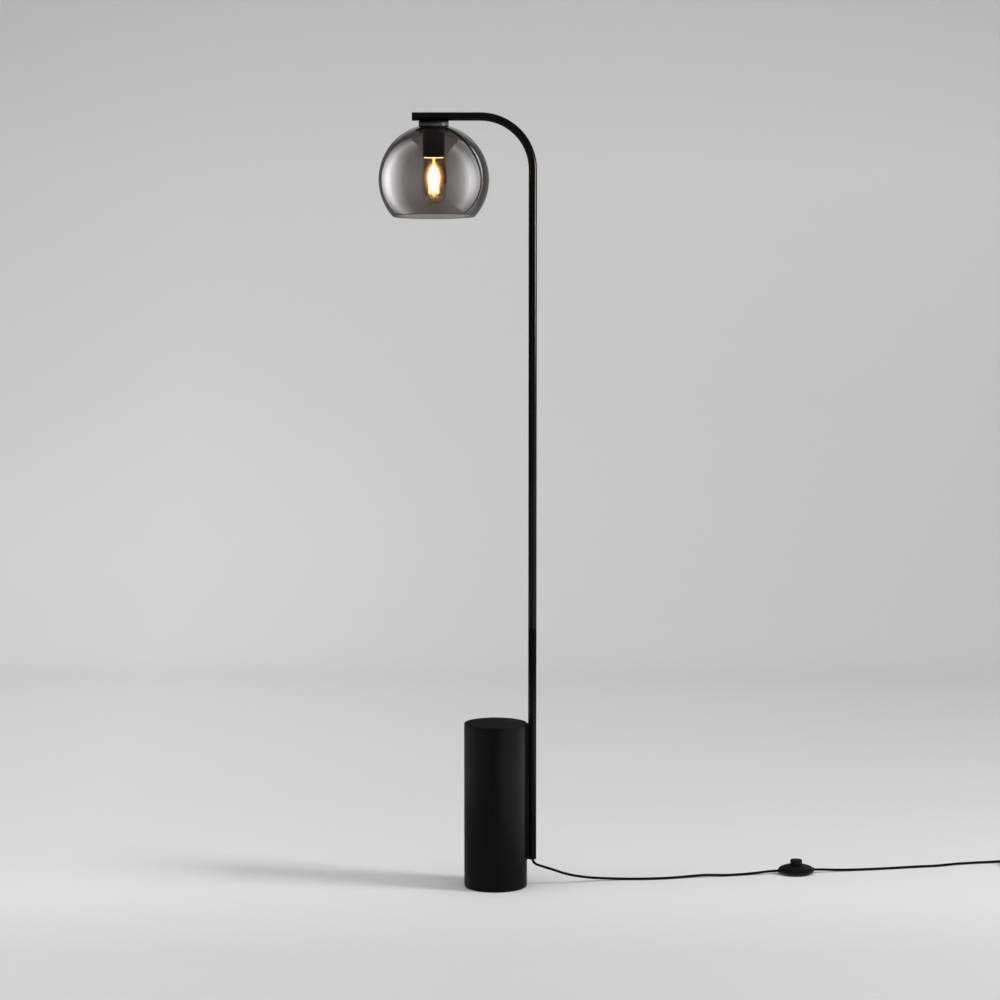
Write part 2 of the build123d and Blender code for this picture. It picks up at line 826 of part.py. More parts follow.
ring_gasket_outer = ring_r - edge_break
ring_gasket_inner = ring_gasket_outer - ring_gasket_width
with BuildPart() as ring_gasket:
    turned(
        globe_x,
        0,
        (ring_gasket_inner, ring_top),
        (ring_gasket_outer, ring_top),
        (ring_gasket_outer, sphere_height(globe_inner_r, ring_gasket_outer) - seat_gap),
        (ring_gasket_inner, sphere_height(globe_inner_r, ring_gasket_inner) - seat_gap),
    )
save(ring_gasket.part, "ring_gasket")

# --- Lampholder: cap, sleeve, ceramic core, screw shell and contacts ---------------------------
with BuildPart() as holder_cap:
    with BuildSketch(upright(globe_x)):
        with BuildLine():
            Polyline(
                (nipple_dia / 2 + thread_gap, holder_top - holder_top_plate),
                (holder_bore_r, holder_top - holder_top_plate),
                (holder_bore_r, holder_split),
                (holder_r, holder_split),
                (holder_r, holder_top),
                (nipple_dia / 2 + thread_gap, holder_top),
                close=True,
            )
        cap_face = make_face()
        fillet(cap_face.vertices().group_by(Axis.Y)[-1].sort_by(Axis.X)[-1], radius=holder_edge_round)
    revolve(axis=Axis((globe_x, 0, 0), (0, 0, 1)))
save(holder_cap.part, "holder_cap")

core_seat_r = core_r + seat_gap
spigot_top = holder_split + holder_spigot
with BuildPart() as holder_sleeve:
    with BuildSketch(upright(globe_x)):
        with BuildLine():
            Polyline(
                (holder_bore_r, holder_mouth),
                (holder_r, holder_mouth),
                (holder_r, holder_split),
                (holder_bore_r - thread_gap, holder_split),
                (holder_bore_r - thread_gap, spigot_top),
                (core_seat_r, spigot_top),
                (core_seat_r, core_bottom),
                (core_seat_r - core_ledge_width, core_bottom),
                (core_seat_r - core_ledge_width, core_bottom - core_ledge_height),
                (holder_bore_r, core_bottom - core_ledge_height),
                close=True,
            )
        sleeve_face = make_face()
        fillet(sleeve_face.vertices().group_by(Axis.Y)[0].sort_by(Axis.X)[-1], radius=holder_edge_round)
    revolve(axis=Axis((globe_x, 0, 0), (0, 0, 1)))
save(holder_sleeve.part, "holder_sleeve")

shell_r = shell_dia / 2
side_stud_x = globe_x - (shell_r - shell_wall - seat_gap - side_stud_head_dia / 2)
with BuildPart() as holder_core:
    turned(
        globe_x,
        0,
        (shell_r + seat_gap, core_bottom),
        (core_r, core_bottom),
        (core_r, core_top),
        (0, core_top),
        (0, core_ceiling),
        (shell_r + seat_gap, core_ceiling),
    )
    with BuildSketch(Plane.XY.offset(core_ceiling)):
        with Locations((globe_x, 0), (side_stud_x, 0)):
            Circle(stud_dia / 2 + thread_gap)
    extrude(amount=core_plate, mode=Mode.SUBTRACT)
save(holder_core.part, "holder_core")

with BuildPart() as holder_shell:
    turned(
        globe_x,
        0,
        (shell_r - shell_wall, core_ceiling - shell_length),
        (shell_r, core_ceiling - shell_length),
        (shell_r, core_ceiling),
        (shell_r - shell_lip_width, core_ceiling),
        (shell_r - shell_lip_width, core_ceiling - shell_wall),
        (shell_r - shell_wall, core_ceiling - shell_wall),
    )
    with BuildSketch(Plane.XY.offset(core_ceiling - shell_wall)):
        with Locations((side_stud_x, 0)):
            Circle(stud_dia / 2 + thread_gap)
    extrude(amount=shell_wall, mode=Mode.SUBTRACT)
save(holder_shell.part, "holder_shell")

with BuildPart() as holder_contacts:
    turned(
        globe_x,
        0,
        (0, contact_face),
        (stud_head_dia / 2, contact_face),
        (stud_head_dia / 2, core_ceiling),
        (stud_dia / 2, core_ceiling),
        (stud_dia / 2, stud_top),
        (0, stud_top),
    )
    turned(
        side_stud_x,
        0,
        (0, core_ceiling - shell_wall - stud_head_height),
        (side_stud_head_dia / 2, core_ceiling - shell_wall - stud_head_height),
        (side_stud_head_dia / 2, core_ceiling - shell_wall),
        (stud_dia / 2, core_ceiling - shell_wall),
        (stud_dia / 2, stud_top),
        (0, stud_top),
    )
save(holder_contacts.part, "holder_contacts")

# --- Bulb: metal cap, insulator with its contact, envelope, stem, leads and filaments ----------
bulb_cap_r = bulb_cap_dia / 2
lip_r = bulb_cap_r - bulb_cap_lip
with BuildPart() as bulb_cap:
    turned(
        globe_x,
        0,
        (bulb_cap_r - bulb_cap_wall, bulb_cap_bottom),
        (bulb_cap_r, bulb_cap_bottom),
        (bulb_cap_r, bulb_cap_top - edge_break),
        (bulb_cap_r - edge_break, bulb_cap_top),
        (lip_r, bulb_cap_top),
        (lip_r, bulb_cap_top - bulb_cap_wall),
        (bulb_cap_r - bulb_cap_wall, bulb_cap_top - bulb_cap_wall),
    )
save(bulb_cap.part, "bulb_cap")

contact_r = bulb_contact_dia / 2
with BuildPart() as bulb_insulator:
    turned(
        globe_x,
        0,
        (0, bulb_cap_top - bulb_insulator_step),
        (lip_r - seat_gap, bulb_cap_top - bulb_insulator_step),
        (lip_r - seat_gap, bulb_cap_top + bulb_insulator_step),
        (contact_r, bulb_cap_top + bulb_insulator_height),
        (0, bulb_cap_top + bulb_insulator_height),
    )
save(bulb_insulator.part, "bulb_insulator")

with BuildPart() as bulb_contact:
    turned(
        globe_x,
        0,
        (0, bulb_cap_top + bulb_insulator_height),
        (contact_r, bulb_cap_top + bulb_insulator_height),
        (contact_r - edge_break, bulb_contact_top),
        (0, bulb_contact_top),
    )
save(bulb_contact.part, "bulb_contact")


# Outline of the envelope: a straight neck, a sloping shoulder, a long round flank, a straight
# stretch and a half-round end
neck_top = bulb_cap_bottom + bulb_neck_length
shoulder_z = bulb_cap_bottom - bulb_shoulder_drop
widest_z = bulb_cap_bottom - bulb_widest_drop
dome_z = widest_z - bulb_straight_length
flank_in = (bulb_dia - bulb_shoulder_dia) / 2
flank_rise = shoulder_z - widest_z
flank_r = (flank_rise**2 + flank_in**2) / (2 * flank_in)
flank_half = asin(flank_rise / flank_r) / 2


def envelope(inset, mode=Mode.ADD):
    """Turn the bulb's outline, drawn in by an inset, about the globe's axis."""
    neck_r = bulb_neck_dia / 2 - inset
    shoulder_r = bulb_shoulder_dia / 2 - inset
    body_r = bulb_dia / 2 - inset
    flank_middle = (
        body_r - flank_r * (1 - cos(flank_half)),
        widest_z + flank_r * sin(flank_half),
    )
    dome_middle = (body_r * cos(pi / 4), dome_z - body_r * sin(pi / 4))
    with BuildSketch(upright(globe_x)) as half:
        with BuildLine():
            Polyline((0, neck_top), (neck_r, neck_top), (neck_r, bulb_cap_bottom), (shoulder_r, shoulder_z))
            ThreePointArc((shoulder_r, shoulder_z), flank_middle, (body_r, widest_z))
            Line((body_r, widest_z), (body_r, dome_z))
            ThreePointArc((body_r, dome_z), dome_middle, (0, dome_z - body_r))
            Line((0, dome_z - body_r), (0, neck_top))
        face = make_face()
        for corner, radius in (
            ((neck_r, bulb_cap_bottom), bulb_neck_round),
            ((shoulder_r, shoulder_z), bulb_shoulder_round),
        ):
            fillet(face.vertices().sort_by_distance(corner)[0], radius=radius)
    revolve(half.sketch, axis=Axis((globe_x, 0, 0), (0, 0, 1)), mode=mode)


with BuildPart() as bulb_glass:
    envelope(0)
    envelope(bulb_glass_wall, mode=Mode.SUBTRACT)
save(bulb_glass.part, "bulb_glass")

stem_rod_r = stem_rod_dia / 2
with BuildPart() as bulb_stem:
    turned(
        globe_x,
        0,
        (0, neck_top),
        (stem_flare_dia / 2, neck_top),
        (stem_flare_dia / 2, neck_top - stem_flare_thickness),
        (stem_neck_dia / 2, bulb_cap_bottom - stem_neck_drop),
        (stem_dia / 2, bulb_cap_bottom - stem_waist_drop),
        (stem_dia / 2, bulb_cap_bottom - stem_drop),
        (stem_rod_r, bulb_cap_bottom - stem_drop),
        (stem_rod_r, bulb_cap_bottom - stem_rod_drop),
        (0, bulb_cap_bottom - stem_rod_drop),
    )
save(bulb_stem.part, "bulb_stem")

filament_top_z = bulb_cap_bottom - filament_top_drop
filament_bottom_z = bulb_cap_bottom - filament_bottom_drop
filament_angles = [360 / filament_count * (i + 0.5) for i in range(filament_count)]
with BuildPart() as bulb_leads:
    for angle in filament_angles:
        outward = (cos(radians(angle)), sin(radians(angle)), 0)
        for z, reach in (
            (filament_top_z, filament_top_radius),
            (filament_bottom_z, filament_bottom_radius),
        ):
            first = stem_rod_r + filament_end_gap
            last = reach - filament_dia / 2 - filament_end_gap
            with BuildSketch(Plane(origin=(globe_x, 0, z), z_dir=outward).offset(first)):
                Circle(lead_dia / 2)
            extrude(amount=last - first)
save(bulb_leads.part, "bulb_leads")

with BuildPart() as bulb_filaments:
    for angle in filament_angles:
        along, across = cos(radians(angle)), sin(radians(angle))
        top = Vector(
            globe_x + filament_top_radius * along,
            filament_top_radius * across,
            filament_top_z,
        )
        bottom = Vector(
            globe_x + filament_bottom_radius * along,
            filament_bottom_radius * across,
            filament_bottom_z,
        )
        with BuildSketch(Plane(origin=top, z_dir=bottom - top)):
            Circle(filament_dia / 2)
        extrude(amount=(bottom - top).length)
save(bulb_filaments.part, "bulb_filaments")

# --- Cords --------------------------------------------------------------------------------
arc_share = 0.45  # of the shorter run beside a corner that its arc takes up


def corner_radii(points):
    """The largest tangent arc that the two runs beside each corner leave room for."""
    runs = [after - before for before, after in zip(points, points[1:])]
    radii = []
    for arriving, leaving in zip(runs, runs[1:]):
        half_turn = radians(arriving.get_angle(leaving)) / 2
        radii.append(arc_share * min(arriving.length, leaving.length) / tan(half_turn))
    return radii


def tell(name, part, wire, radii):
    """Print a cord's tightest bend, its length and how its volume agrees with its length."""
    share = part.volume / (pi * cord_r**2 * wire.length)
    print(f"{name}: length {wire.length:.0f}, least bend radius {min(radii):.1f}, volume {share:.4f}")


with BuildPart() as inner_cord:
    with BuildLine(Plane.XZ) as inner_path:
        FilletPolyline(
            (pole_x, cord_exit_z),
            (pole_x, arm_z),
            (globe_x, arm_z),
            (globe_x, stud_top),
            radius=(bend_radius, inner_cord_bend),
        )
    with BuildSketch(Plane.XY.offset(cord_exit_z)):
        with Locations((pole_x, 0)):
            Circle(cord_r)
    sweep(path=inner_path.wires()[0])
save(inner_cord.part, "inner_cord")

for name, route in (
    ("cord_to_switch", route_to_switch),
    ("cord_to_coil", route_to_coil),
    ("cord_to_plug", route_to_plug),
):
    points = [Vector(*point) for point in route]
    radii = corner_radii(points)
    with BuildPart() as cord_stretch:
        with BuildLine() as stretch_path:
            FilletPolyline(*points, radius=radii)
        with BuildSketch(Plane(origin=points[0], z_dir=points[1] - points[0])):
            Circle(cord_r)
        sweep(path=stretch_path.wires()[0])
    tell(name, cord_stretch.part, stretch_path.wires()[0], radii)
    save(cord_stretch.part, name)

# --- Wound wire: a chain of arcs that follows a formula --------------------------------------
tangent_step = 1e-4  # of a turn, for the heading at a point of a formula


def heading_at(place, turns):
    """Unit heading of a formula that gives a point for a number of turns."""
    return (place(turns + tangent_step) - place(turns - tangent_step)).normalized()


def wind(place, knots, headings):
    """Join the formula's points at the knots by pairs of tangent arcs, in the line that is open."""
    for i in range(len(knots) - 1):
        start, end = place(knots[i]), place(knots[i + 1])
        leaving, arriving = headings[i], headings[i + 1]
        chord, both = end - start, leaving + arriving
        spare = 2 * (1 - leaving.dot(arriving))
        reach = (sqrt(chord.dot(both) ** 2 + spare * chord.dot(chord)) - chord.dot(both)) / spare
        first_handle, second_handle = start + leaving * reach, end - arriving * reach
        middle = (first_handle + second_handle) / 2
        middle_heading = (second_handle - first_handle).normalized()
        TangentArc(start, middle, tangent=leaving)
        TangentArc(middle, end, tangent=middle_heading)


# Spare cord: spirals in and out over its layers, clockwise from its side away from the front
reversal = 0.5  # of a turn, in which the cord climbs to the next layer
layer_turns = coil_turns_per_layer + reversal
coil_turns = coil_layers * layer_turns - reversal
knots_per_turn = 4


def coil_place(turns):
    """Point on the coil after a number of turns."""
    layer = min(int(max(turns, 0) / layer_turns), coil_layers - 1)
    in_layer = turns - layer * layer_turns
    wound = min(in_layer, coil_turns_per_layer) * coil_turn_pitch
    radius = coil_outer_r - wound if layer % 2 == 0 else coil_inner_r + wound
    climb = max(in_layer - coil_turns_per_layer, 0) / reversal
    z = coil_first_z + coil_layer_pitch * (layer + (1 - cos(pi * climb)) / 2)
    angle = pi / 2 - 2 * pi * turns
    return Vector(coil_x + radius * cos(angle), coil_y + radius * sin(angle), z)


coil_knots = [i / knots_per_turn for i in range(round(coil_turns * knots_per_turn) + 1)]
coil_headings = [heading_at(coil_place, turns) for turns in coil_knots]
coil_headings[0] = Vector(1, 0, 0)
coil_headings[-1] = Vector(0, -1, 0)
with BuildPart() as cord_coil:
    with BuildLine() as coil_path:
        Line(coil_entry, coil_place(0))
        wind(coil_place, coil_knots, coil_headings)
        Line(coil_place(coil_turns), coil_exit)
    with BuildSketch(Plane(origin=coil_entry, z_dir=(1, 0, 0))):
        Circle(cord_r)
    sweep(path=coil_path.wires()[0])
save(cord_coil.part, "cord_coil")

coil_wire = coil_path.wires()[0]
sample_step = 2.0
apart_along = 3 * cord_dia
sample_count = int(coil_wire.length / sample_step)
samples = [tuple(coil_wire.position_at(i / sample_count)) for i in range(sample_count)]
skip = int(apart_along / sample_step)
coil_gap = min(
    dist(samples[i], samples[j]) for i in range(sample_count) for j in range(i + skip, sample_count)
)
coil_share = cord_coil.part.volume / (pi * cord_r**2 * coil_wire.length)
print(f"cord_coil: length {coil_wire.length:.0f}, volume {coil_share:.4f}")
print(f"least gap between the coil's turns: {coil_gap - cord_dia:.2f}")

# --- Tie round the coil ---------------------------------------------------------------------
tie_inner_width = coil_span + cord_dia + 2 * tie_play
tie_inner_height = coil_top_z - coil_first_z + cord_dia + 2 * tie_play
with BuildPart() as coil_tie:
    with BuildSketch(upright(coil_x, coil_y, tie_angle)):
        with Locations((coil_mean_radius, (coil_first_z + coil_top_z) / 2)):
            RectangleRounded(
                tie_inner_width + 2 * tie_thickness,
                tie_inner_height + 2 * tie_thickness,
                tie_round + tie_thickness,
            )
            RectangleRounded(tie_inner_width, tie_inner_height, tie_round, mode=Mode.SUBTRACT)
    extrude(amount=tie_width / 2, both=True)
save(coil_tie.part, "coil_tie")

# --- Foot switch ----------------------------------------------------------------------------
switch_plane = Plane(
    origin=(switch_x, switch_y, 0), x_dir=(*switch_heading, 0), z_dir=(0, 0, 1)
)
switch_upright = upright(switch_x, switch_y, switch_turn)
switch_axis = Axis((switch_x, switch_y, 0), (0, 0, 1))
skirt_round = switch_widest_height - switch_skirt_height
skirt_r = switch_dia / 2 - skirt_round
shoulder_x = switch_dia / 2 - switch_shoulder_round
crown_reach = shoulder_x / cos(radians(switch_shoulder_angle))
crown_r = crown_reach + switch_shoulder_round
crown_z = switch_widest_height - crown_reach * sin(radians(switch_shoulder_angle))
switch_plate_bottom = switch_ring_thickness
switch_plate_top = switch_plate_bottom + switch_plate_thickness
grommet_r = cord_r + cord_play / 2 + grommet_wall


def crown_height(distance, inset):
    """Height of the cover's crown, drawn in by an inset, at a distance from its axis."""
    return crown_z + sqrt((crown_r - inset) ** 2 - distance**2)


def switch_dome(inset, mode=Mode.ADD):
    """Turn the cover's outline, drawn in by an inset: skirt, rounded shoulder and low crown."""
    with BuildSketch(switch_upright) as half:
        with BuildLine():
            CenterArc((skirt_r, switch_widest_height), skirt_round - inset, -90, 90)
            CenterArc(
                (shoulder_x, switch_widest_height),
                switch_shoulder_round - inset,
                0,
                switch_shoulder_angle,
            )
            CenterArc((0, crown_z), crown_r - inset, switch_shoulder_angle, 90 - switch_shoulder_angle)
            Polyline(
                (0, crown_z + crown_r - inset),
                (0, switch_skirt_height + inset),
                (skirt_r, switch_skirt_height + inset),
            )
        make_face()
    revolve(half.sketch, axis=switch_axis, mode=mode)


button_r = button_dia / 2
flange_r = button_r + button_flange_width
flange_top = crown_height(flange_r, switch_wall) - slide_gap
flange_bottom = flange_top - button_flange_thickness
plate_r = skirt_r - switch_lip - seat_gap
post_top = crown_height(post_radius + post_dia / 2, 0) - slide_gap
screw_bottom = switch_plate_bottom + seat_gap
with BuildPart() as switch_cover:
    switch_dome(0)
    switch_dome(switch_wall, mode=Mode.SUBTRACT)
    with BuildSketch(switch_plane):
        Circle(skirt_r - switch_lip)
    extrude(amount=switch_plate_top, mode=Mode.SUBTRACT)
    with BuildSketch(switch_plane.offset(switch_plate_top)):
        for angle in post_angles:
            with Locations((post_radius * cos(radians(angle)), post_radius * sin(radians(angle)))):
                Circle(post_dia / 2)
                Circle(screw_dia / 2 + thread_gap, mode=Mode.SUBTRACT)
    extrude(amount=post_top - switch_plate_top)
    with BuildSketch(switch_plane.offset(switch_plate_top)):
        Circle(button_r + slide_gap)
    extrude(amount=button_height, mode=Mode.SUBTRACT)
    with BuildSketch(Plane(origin=(switch_x, switch_y, cord_hole_height), z_dir=(*switch_heading, 0))):
        Circle(grommet_r + seat_gap)
    extrude(amount=switch_dia, both=True, mode=Mode.SUBTRACT)
save(switch_cover.part, "switch_cover")

mechanism_top = switch_plate_top + mechanism_height
button_post_bottom = mechanism_top + plunger_height + button_travel + slide_gap
with BuildPart() as switch_button:
    with BuildSketch(switch_upright):
        with BuildLine():
            Polyline(
                (button_r - button_wall, flange_bottom),
                (flange_r, flange_bottom),
                (flange_r, flange_top),
                (button_r, flange_top),
                (button_r, button_height),
                (0, button_height),
                (0, button_post_bottom),
                (button_post_dia / 2, button_post_bottom),
                (button_post_dia / 2, button_height - button_wall),
                (button_r - button_wall, button_height - button_wall),
                close=True,
            )
        button_face = make_face()
        fillet(button_face.vertices().sort_by_distance((button_r, button_height))[0], radius=button_round)
    revolve(axis=switch_axis)
save(switch_button.part, "switch_button")

cradle_start = cord_end_radius + clamp_from_cord_end
cradle_middle = cradle_start + clamp_length / 2
cord_underside = cord_hole_height - cord_r
cord_topside = cord_hole_height + cord_r
with BuildPart() as switch_plate:
    with BuildSketch(switch_plane.offset(switch_plate_bottom)):
        Circle(plate_r)
    extrude(amount=switch_plate_thickness)
    with BuildSketch(switch_plane.offset(switch_plate_top)):
        with Locations((cradle_middle, 0), (-cradle_middle, 0)):
            Rectangle(clamp_length, clamp_width)
    extrude(amount=cord_underside - seat_gap - switch_plate_top)
    with BuildSketch(switch_plane.offset(switch_plate_bottom)):
        for angle in post_angles:
            with Locations((post_radius * cos(radians(angle)), post_radius * sin(radians(angle)))):
                Circle(screw_dia / 2 + screw_play)
    extrude(amount=switch_plate_thickness, mode=Mode.SUBTRACT)
    with BuildSketch(switch_plane.offset(switch_plate_bottom)):
        for angle in post_angles:
            with Locations((post_radius * cos(radians(angle)), post_radius * sin(radians(angle)))):
                Circle(screw_head_dia / 2 + screw_play)
    extrude(amount=screw_bottom + screw_head_height - switch_plate_bottom, mode=Mode.SUBTRACT)
save(switch_plate.part, "switch_plate")

with BuildPart() as switch_screws:
    for angle in post_angles:
        place = switch_plane.from_local_coords(
            Vector(post_radius * cos(radians(angle)), post_radius * sin(radians(angle)), 0)
        )
        turned(
            place.X,
            place.Y,
            (0, screw_bottom),
            (screw_head_dia / 2, screw_bottom),
            (screw_head_dia / 2, screw_bottom + screw_head_height),
            (screw_dia / 2, screw_bottom + screw_head_height),
            (screw_dia / 2, screw_bottom + screw_length),
            (0, screw_bottom + screw_length),
        )
save(switch_screws.part, "switch_screws")

with BuildPart() as switch_ring:
    with BuildSketch(switch_plane):
        Circle(switch_ring_dia / 2)
        Circle(switch_ring_bore / 2, mode=Mode.SUBTRACT)
    extrude(amount=switch_ring_thickness)
save(switch_ring.part, "switch_ring")

with BuildPart() as switch_mechanism:
    with BuildSketch(switch_plane.offset(switch_plate_top)):
        Rectangle(mechanism_length, mechanism_width)
    extrude(amount=mechanism_height)
    with BuildSketch(switch_plane.offset(mechanism_top)):
        Circle(plunger_dia / 2)
    extrude(amount=plunger_height)
save(switch_mechanism.part, "switch_mechanism")

spring_low = mechanism_top + spring_wire / 2 + seat_gap
spring_high = button_height - button_wall - spring_wire / 2 - seat_gap
spring_mean_r = (spring_dia - spring_wire) / 2


def spring_place(turns):
    """Point on the spring after a number of turns."""
    angle = 2 * pi * turns
    return Vector(
        switch_x + spring_mean_r * cos(angle),
        switch_y + spring_mean_r * sin(angle),
        spring_low + (spring_high - spring_low) * turns / spring_turns,
    )


spring_knots = [i / knots_per_turn for i in range(spring_turns * knots_per_turn + 1)]
with BuildPart() as switch_spring:
    with BuildLine() as spring_path:
        wind(spring_place, spring_knots, [heading_at(spring_place, turns) for turns in spring_knots])
    with BuildSketch(Plane(origin=spring_place(0), z_dir=heading_at(spring_place, 0))):
        Circle(spring_wire / 2)
    sweep(path=spring_path.wires()[0])
save(switch_spring.part, "switch_spring")

terminal_middle = cord_end_radius - terminal_length / 2
terminal_spots = [
    (side * terminal_middle, row * terminal_spacing / 2) for side in (-1, 1) for row in (-1, 1)
]
with BuildPart() as switch_terminals:
    with BuildSketch(switch_plane.offset(switch_plate_top)):
        with Locations(*terminal_spots):
            Rectangle(terminal_length, terminal_width)
    extrude(amount=terminal_height)
    with BuildSketch(switch_plane.offset(switch_plate_top + terminal_height)):
        with Locations(*terminal_spots):
            Circle(terminal_screw_dia / 2)
    extrude(amount=terminal_screw_height)
save(switch_terminals.part, "switch_terminals")

with BuildPart() as switch_clamps:
    with BuildSketch(switch_plane.offset(cord_underside - seat_gap)):
        with Locations((cradle_middle, 0), (-cradle_middle, 0)):
            Rectangle(clamp_length, clamp_width)
    extrude(amount=cord_topside + clamp_bridge - cord_underside + seat_gap)
    with BuildSketch(switch_plane.offset(cord_underside - seat_gap)):
        with Locations((cradle_middle, 0), (-cradle_middle, 0)):
            Rectangle(clamp_length, cord_dia + cord_play)
    extrude(amount=cord_dia + 2 * seat_gap, mode=Mode.SUBTRACT)
save(switch_clamps.part, "switch_clamps")

wall_outer = switch_dia / 2
with BuildPart() as switch_grommets:
    for side in (-1, 1):
        hole_plane = Plane(
            origin=(switch_x, switch_y, cord_hole_height),
            z_dir=(side * switch_heading[0], side * switch_heading[1], 0),
        )
        with BuildSketch(hole_plane.offset(wall_outer - switch_wall - grommet_tail)):
            Circle(grommet_r)
            Circle(cord_r + cord_play / 2, mode=Mode.SUBTRACT)
        extrude(amount=switch_wall + grommet_tail)
        with BuildSketch(hole_plane.offset(wall_outer)):
            Circle(grommet_r + grommet_lip)
            Circle(cord_r + cord_play / 2, mode=Mode.SUBTRACT)
        extrude(amount=grommet_lip)
save(switch_grommets.part, "switch_grommets")

# --- Plug -----------------------------------------------------------------------------------
pin_core_dia = sleeve_dia - 2 * sleeve_wall
pin_tip_y = plug_face_y - pin_length
sleeve_end_y = plug_face_y - sleeve_length
pin_root_y = plug_face_y + pin_embedded
pin_places = (plug_x - pin_spacing / 2, plug_x + pin_spacing / 2)
with BuildPart() as plug_body:
    with BuildSketch(Plane.XY.offset(plug_z - plug_height / 2)):
        Polygon(
            (plug_x - plug_width / 2, plug_face_y),
            (plug_x + plug_width / 2, plug_face_y),
            (plug_x + plug_width / 2, plug_face_y + plug_collar_length),
            (plug_x + plug_tail_width / 2, plug_back_y),
            (plug_x - plug_tail_width / 2, plug_back_y),
            (plug_x - plug_width / 2, plug_face_y + plug_collar_length),
            align=None,
        )
    extrude(amount=plug_height)
    fillet(plug_body.edges().filter_by(Axis.Z), radius=plug_edge_round)
    fillet(
        plug_body.edges().group_by(Axis.Z)[0] + plug_body.edges().group_by(Axis.Z)[-1],
        radius=plug_edge_round,
    )
    turned_along_y(
        plug_x,
        plug_z,
        (plug_back_y - plug_edge_round, 0),
        (plug_back_y - plug_edge_round, plug_relief_root_dia / 2),
        (plug_back_y, plug_relief_root_dia / 2),
        (plug_cord_y, plug_relief_dia / 2),
        (plug_cord_y, 0),
    )
    with BuildSketch(Plane(origin=(0, plug_face_y, plug_z), x_dir=(1, 0, 0), z_dir=(0, -1, 0))):
        with Locations(*[(x, 0) for x in pin_places]):
            Circle(pin_core_dia / 2 + seat_gap)
    extrude(amount=-pin_embedded, mode=Mode.SUBTRACT)
save(plug_body.part, "plug_body")

with BuildPart() as plug_pins:
    for x in pin_places:
        turned_along_y(
            x,
            plug_z,
            (pin_tip_y, 0),
            (pin_tip_y, pin_dia / 2 - pin_tip_edge),
            (pin_tip_y + pin_tip_edge, pin_dia / 2),
            (sleeve_end_y, pin_dia / 2),
            (sleeve_end_y, pin_core_dia / 2),
            (pin_root_y, pin_core_dia / 2),
            (pin_root_y, 0),
        )
save(plug_pins.part, "plug_pins")

with BuildPart() as plug_sleeves:
    for x in pin_places:
        turned_along_y(
            x,
            plug_z,
            (sleeve_end_y, pin_core_dia / 2 + thread_gap),
            (sleeve_end_y, sleeve_dia / 2),
            (plug_face_y, sleeve_dia / 2),
            (plug_face_y, pin_core_dia / 2 + thread_gap),
        )
save(plug_sleeves.part, "plug_sleeves")
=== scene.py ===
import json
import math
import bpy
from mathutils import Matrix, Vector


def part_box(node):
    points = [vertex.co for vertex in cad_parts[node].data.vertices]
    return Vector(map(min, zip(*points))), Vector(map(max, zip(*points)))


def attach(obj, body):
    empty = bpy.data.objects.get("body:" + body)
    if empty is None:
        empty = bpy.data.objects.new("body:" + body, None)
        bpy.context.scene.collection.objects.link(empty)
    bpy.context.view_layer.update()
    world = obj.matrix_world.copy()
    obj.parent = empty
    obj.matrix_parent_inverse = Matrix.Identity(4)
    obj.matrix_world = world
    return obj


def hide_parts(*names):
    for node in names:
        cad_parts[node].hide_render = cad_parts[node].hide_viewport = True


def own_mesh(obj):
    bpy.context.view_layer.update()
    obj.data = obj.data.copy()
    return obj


bl_info = {
    "name": "Globe Floor Lamp", "version": (1, 0, 0), "blender": (4, 5, 0),
    "location": "View3D > Sidebar > Lamp",
    "description": "Dresses the packed model of a globe floor lamp with a foot switch",
    "category": "Object",
}

import bmesh
import bpy
from bpy.props import FloatProperty, FloatVectorProperty, IntProperty, PointerProperty
from mathutils import Matrix, Vector

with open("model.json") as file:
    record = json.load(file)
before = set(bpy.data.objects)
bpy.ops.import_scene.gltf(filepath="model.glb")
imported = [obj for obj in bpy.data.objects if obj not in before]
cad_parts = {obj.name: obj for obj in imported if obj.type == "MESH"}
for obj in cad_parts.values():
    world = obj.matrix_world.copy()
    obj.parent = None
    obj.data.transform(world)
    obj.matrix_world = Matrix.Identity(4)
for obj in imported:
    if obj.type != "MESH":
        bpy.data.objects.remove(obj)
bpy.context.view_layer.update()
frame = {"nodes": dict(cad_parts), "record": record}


def bottom(node):
    """Lowest height of a CAD node."""
    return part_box(node)[0].z


def top(node):
    """Greatest height of a CAD node."""
    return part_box(node)[1].z


def centre(node):
    """Middle of a CAD node's box."""
    low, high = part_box(node)
    return (low + high) / 2


POLE_X = centre("pole_lower").x
GLOBE_X = centre("holder_cap").x
ARM_Z = centre("arm_end_cap").z
SWITCH = centre("switch_button").xy
SWITCH_TURN = math.radians(8)
CORD_HOLE_Z = 0.0066
PLUG = centre("plug_pins")


# --- Sizes and colours that a user may change ------------------------------------------------
def length(name, default, description):
    return FloatProperty(
        name=name, description=description, default=default, min=0.0, unit="LENGTH", precision=5
    )


def colour(name, default, description):
    return FloatVectorProperty(
        name=name, description=description, default=default, size=3, min=0.0, max=1.0, subtype="COLOR"
    )


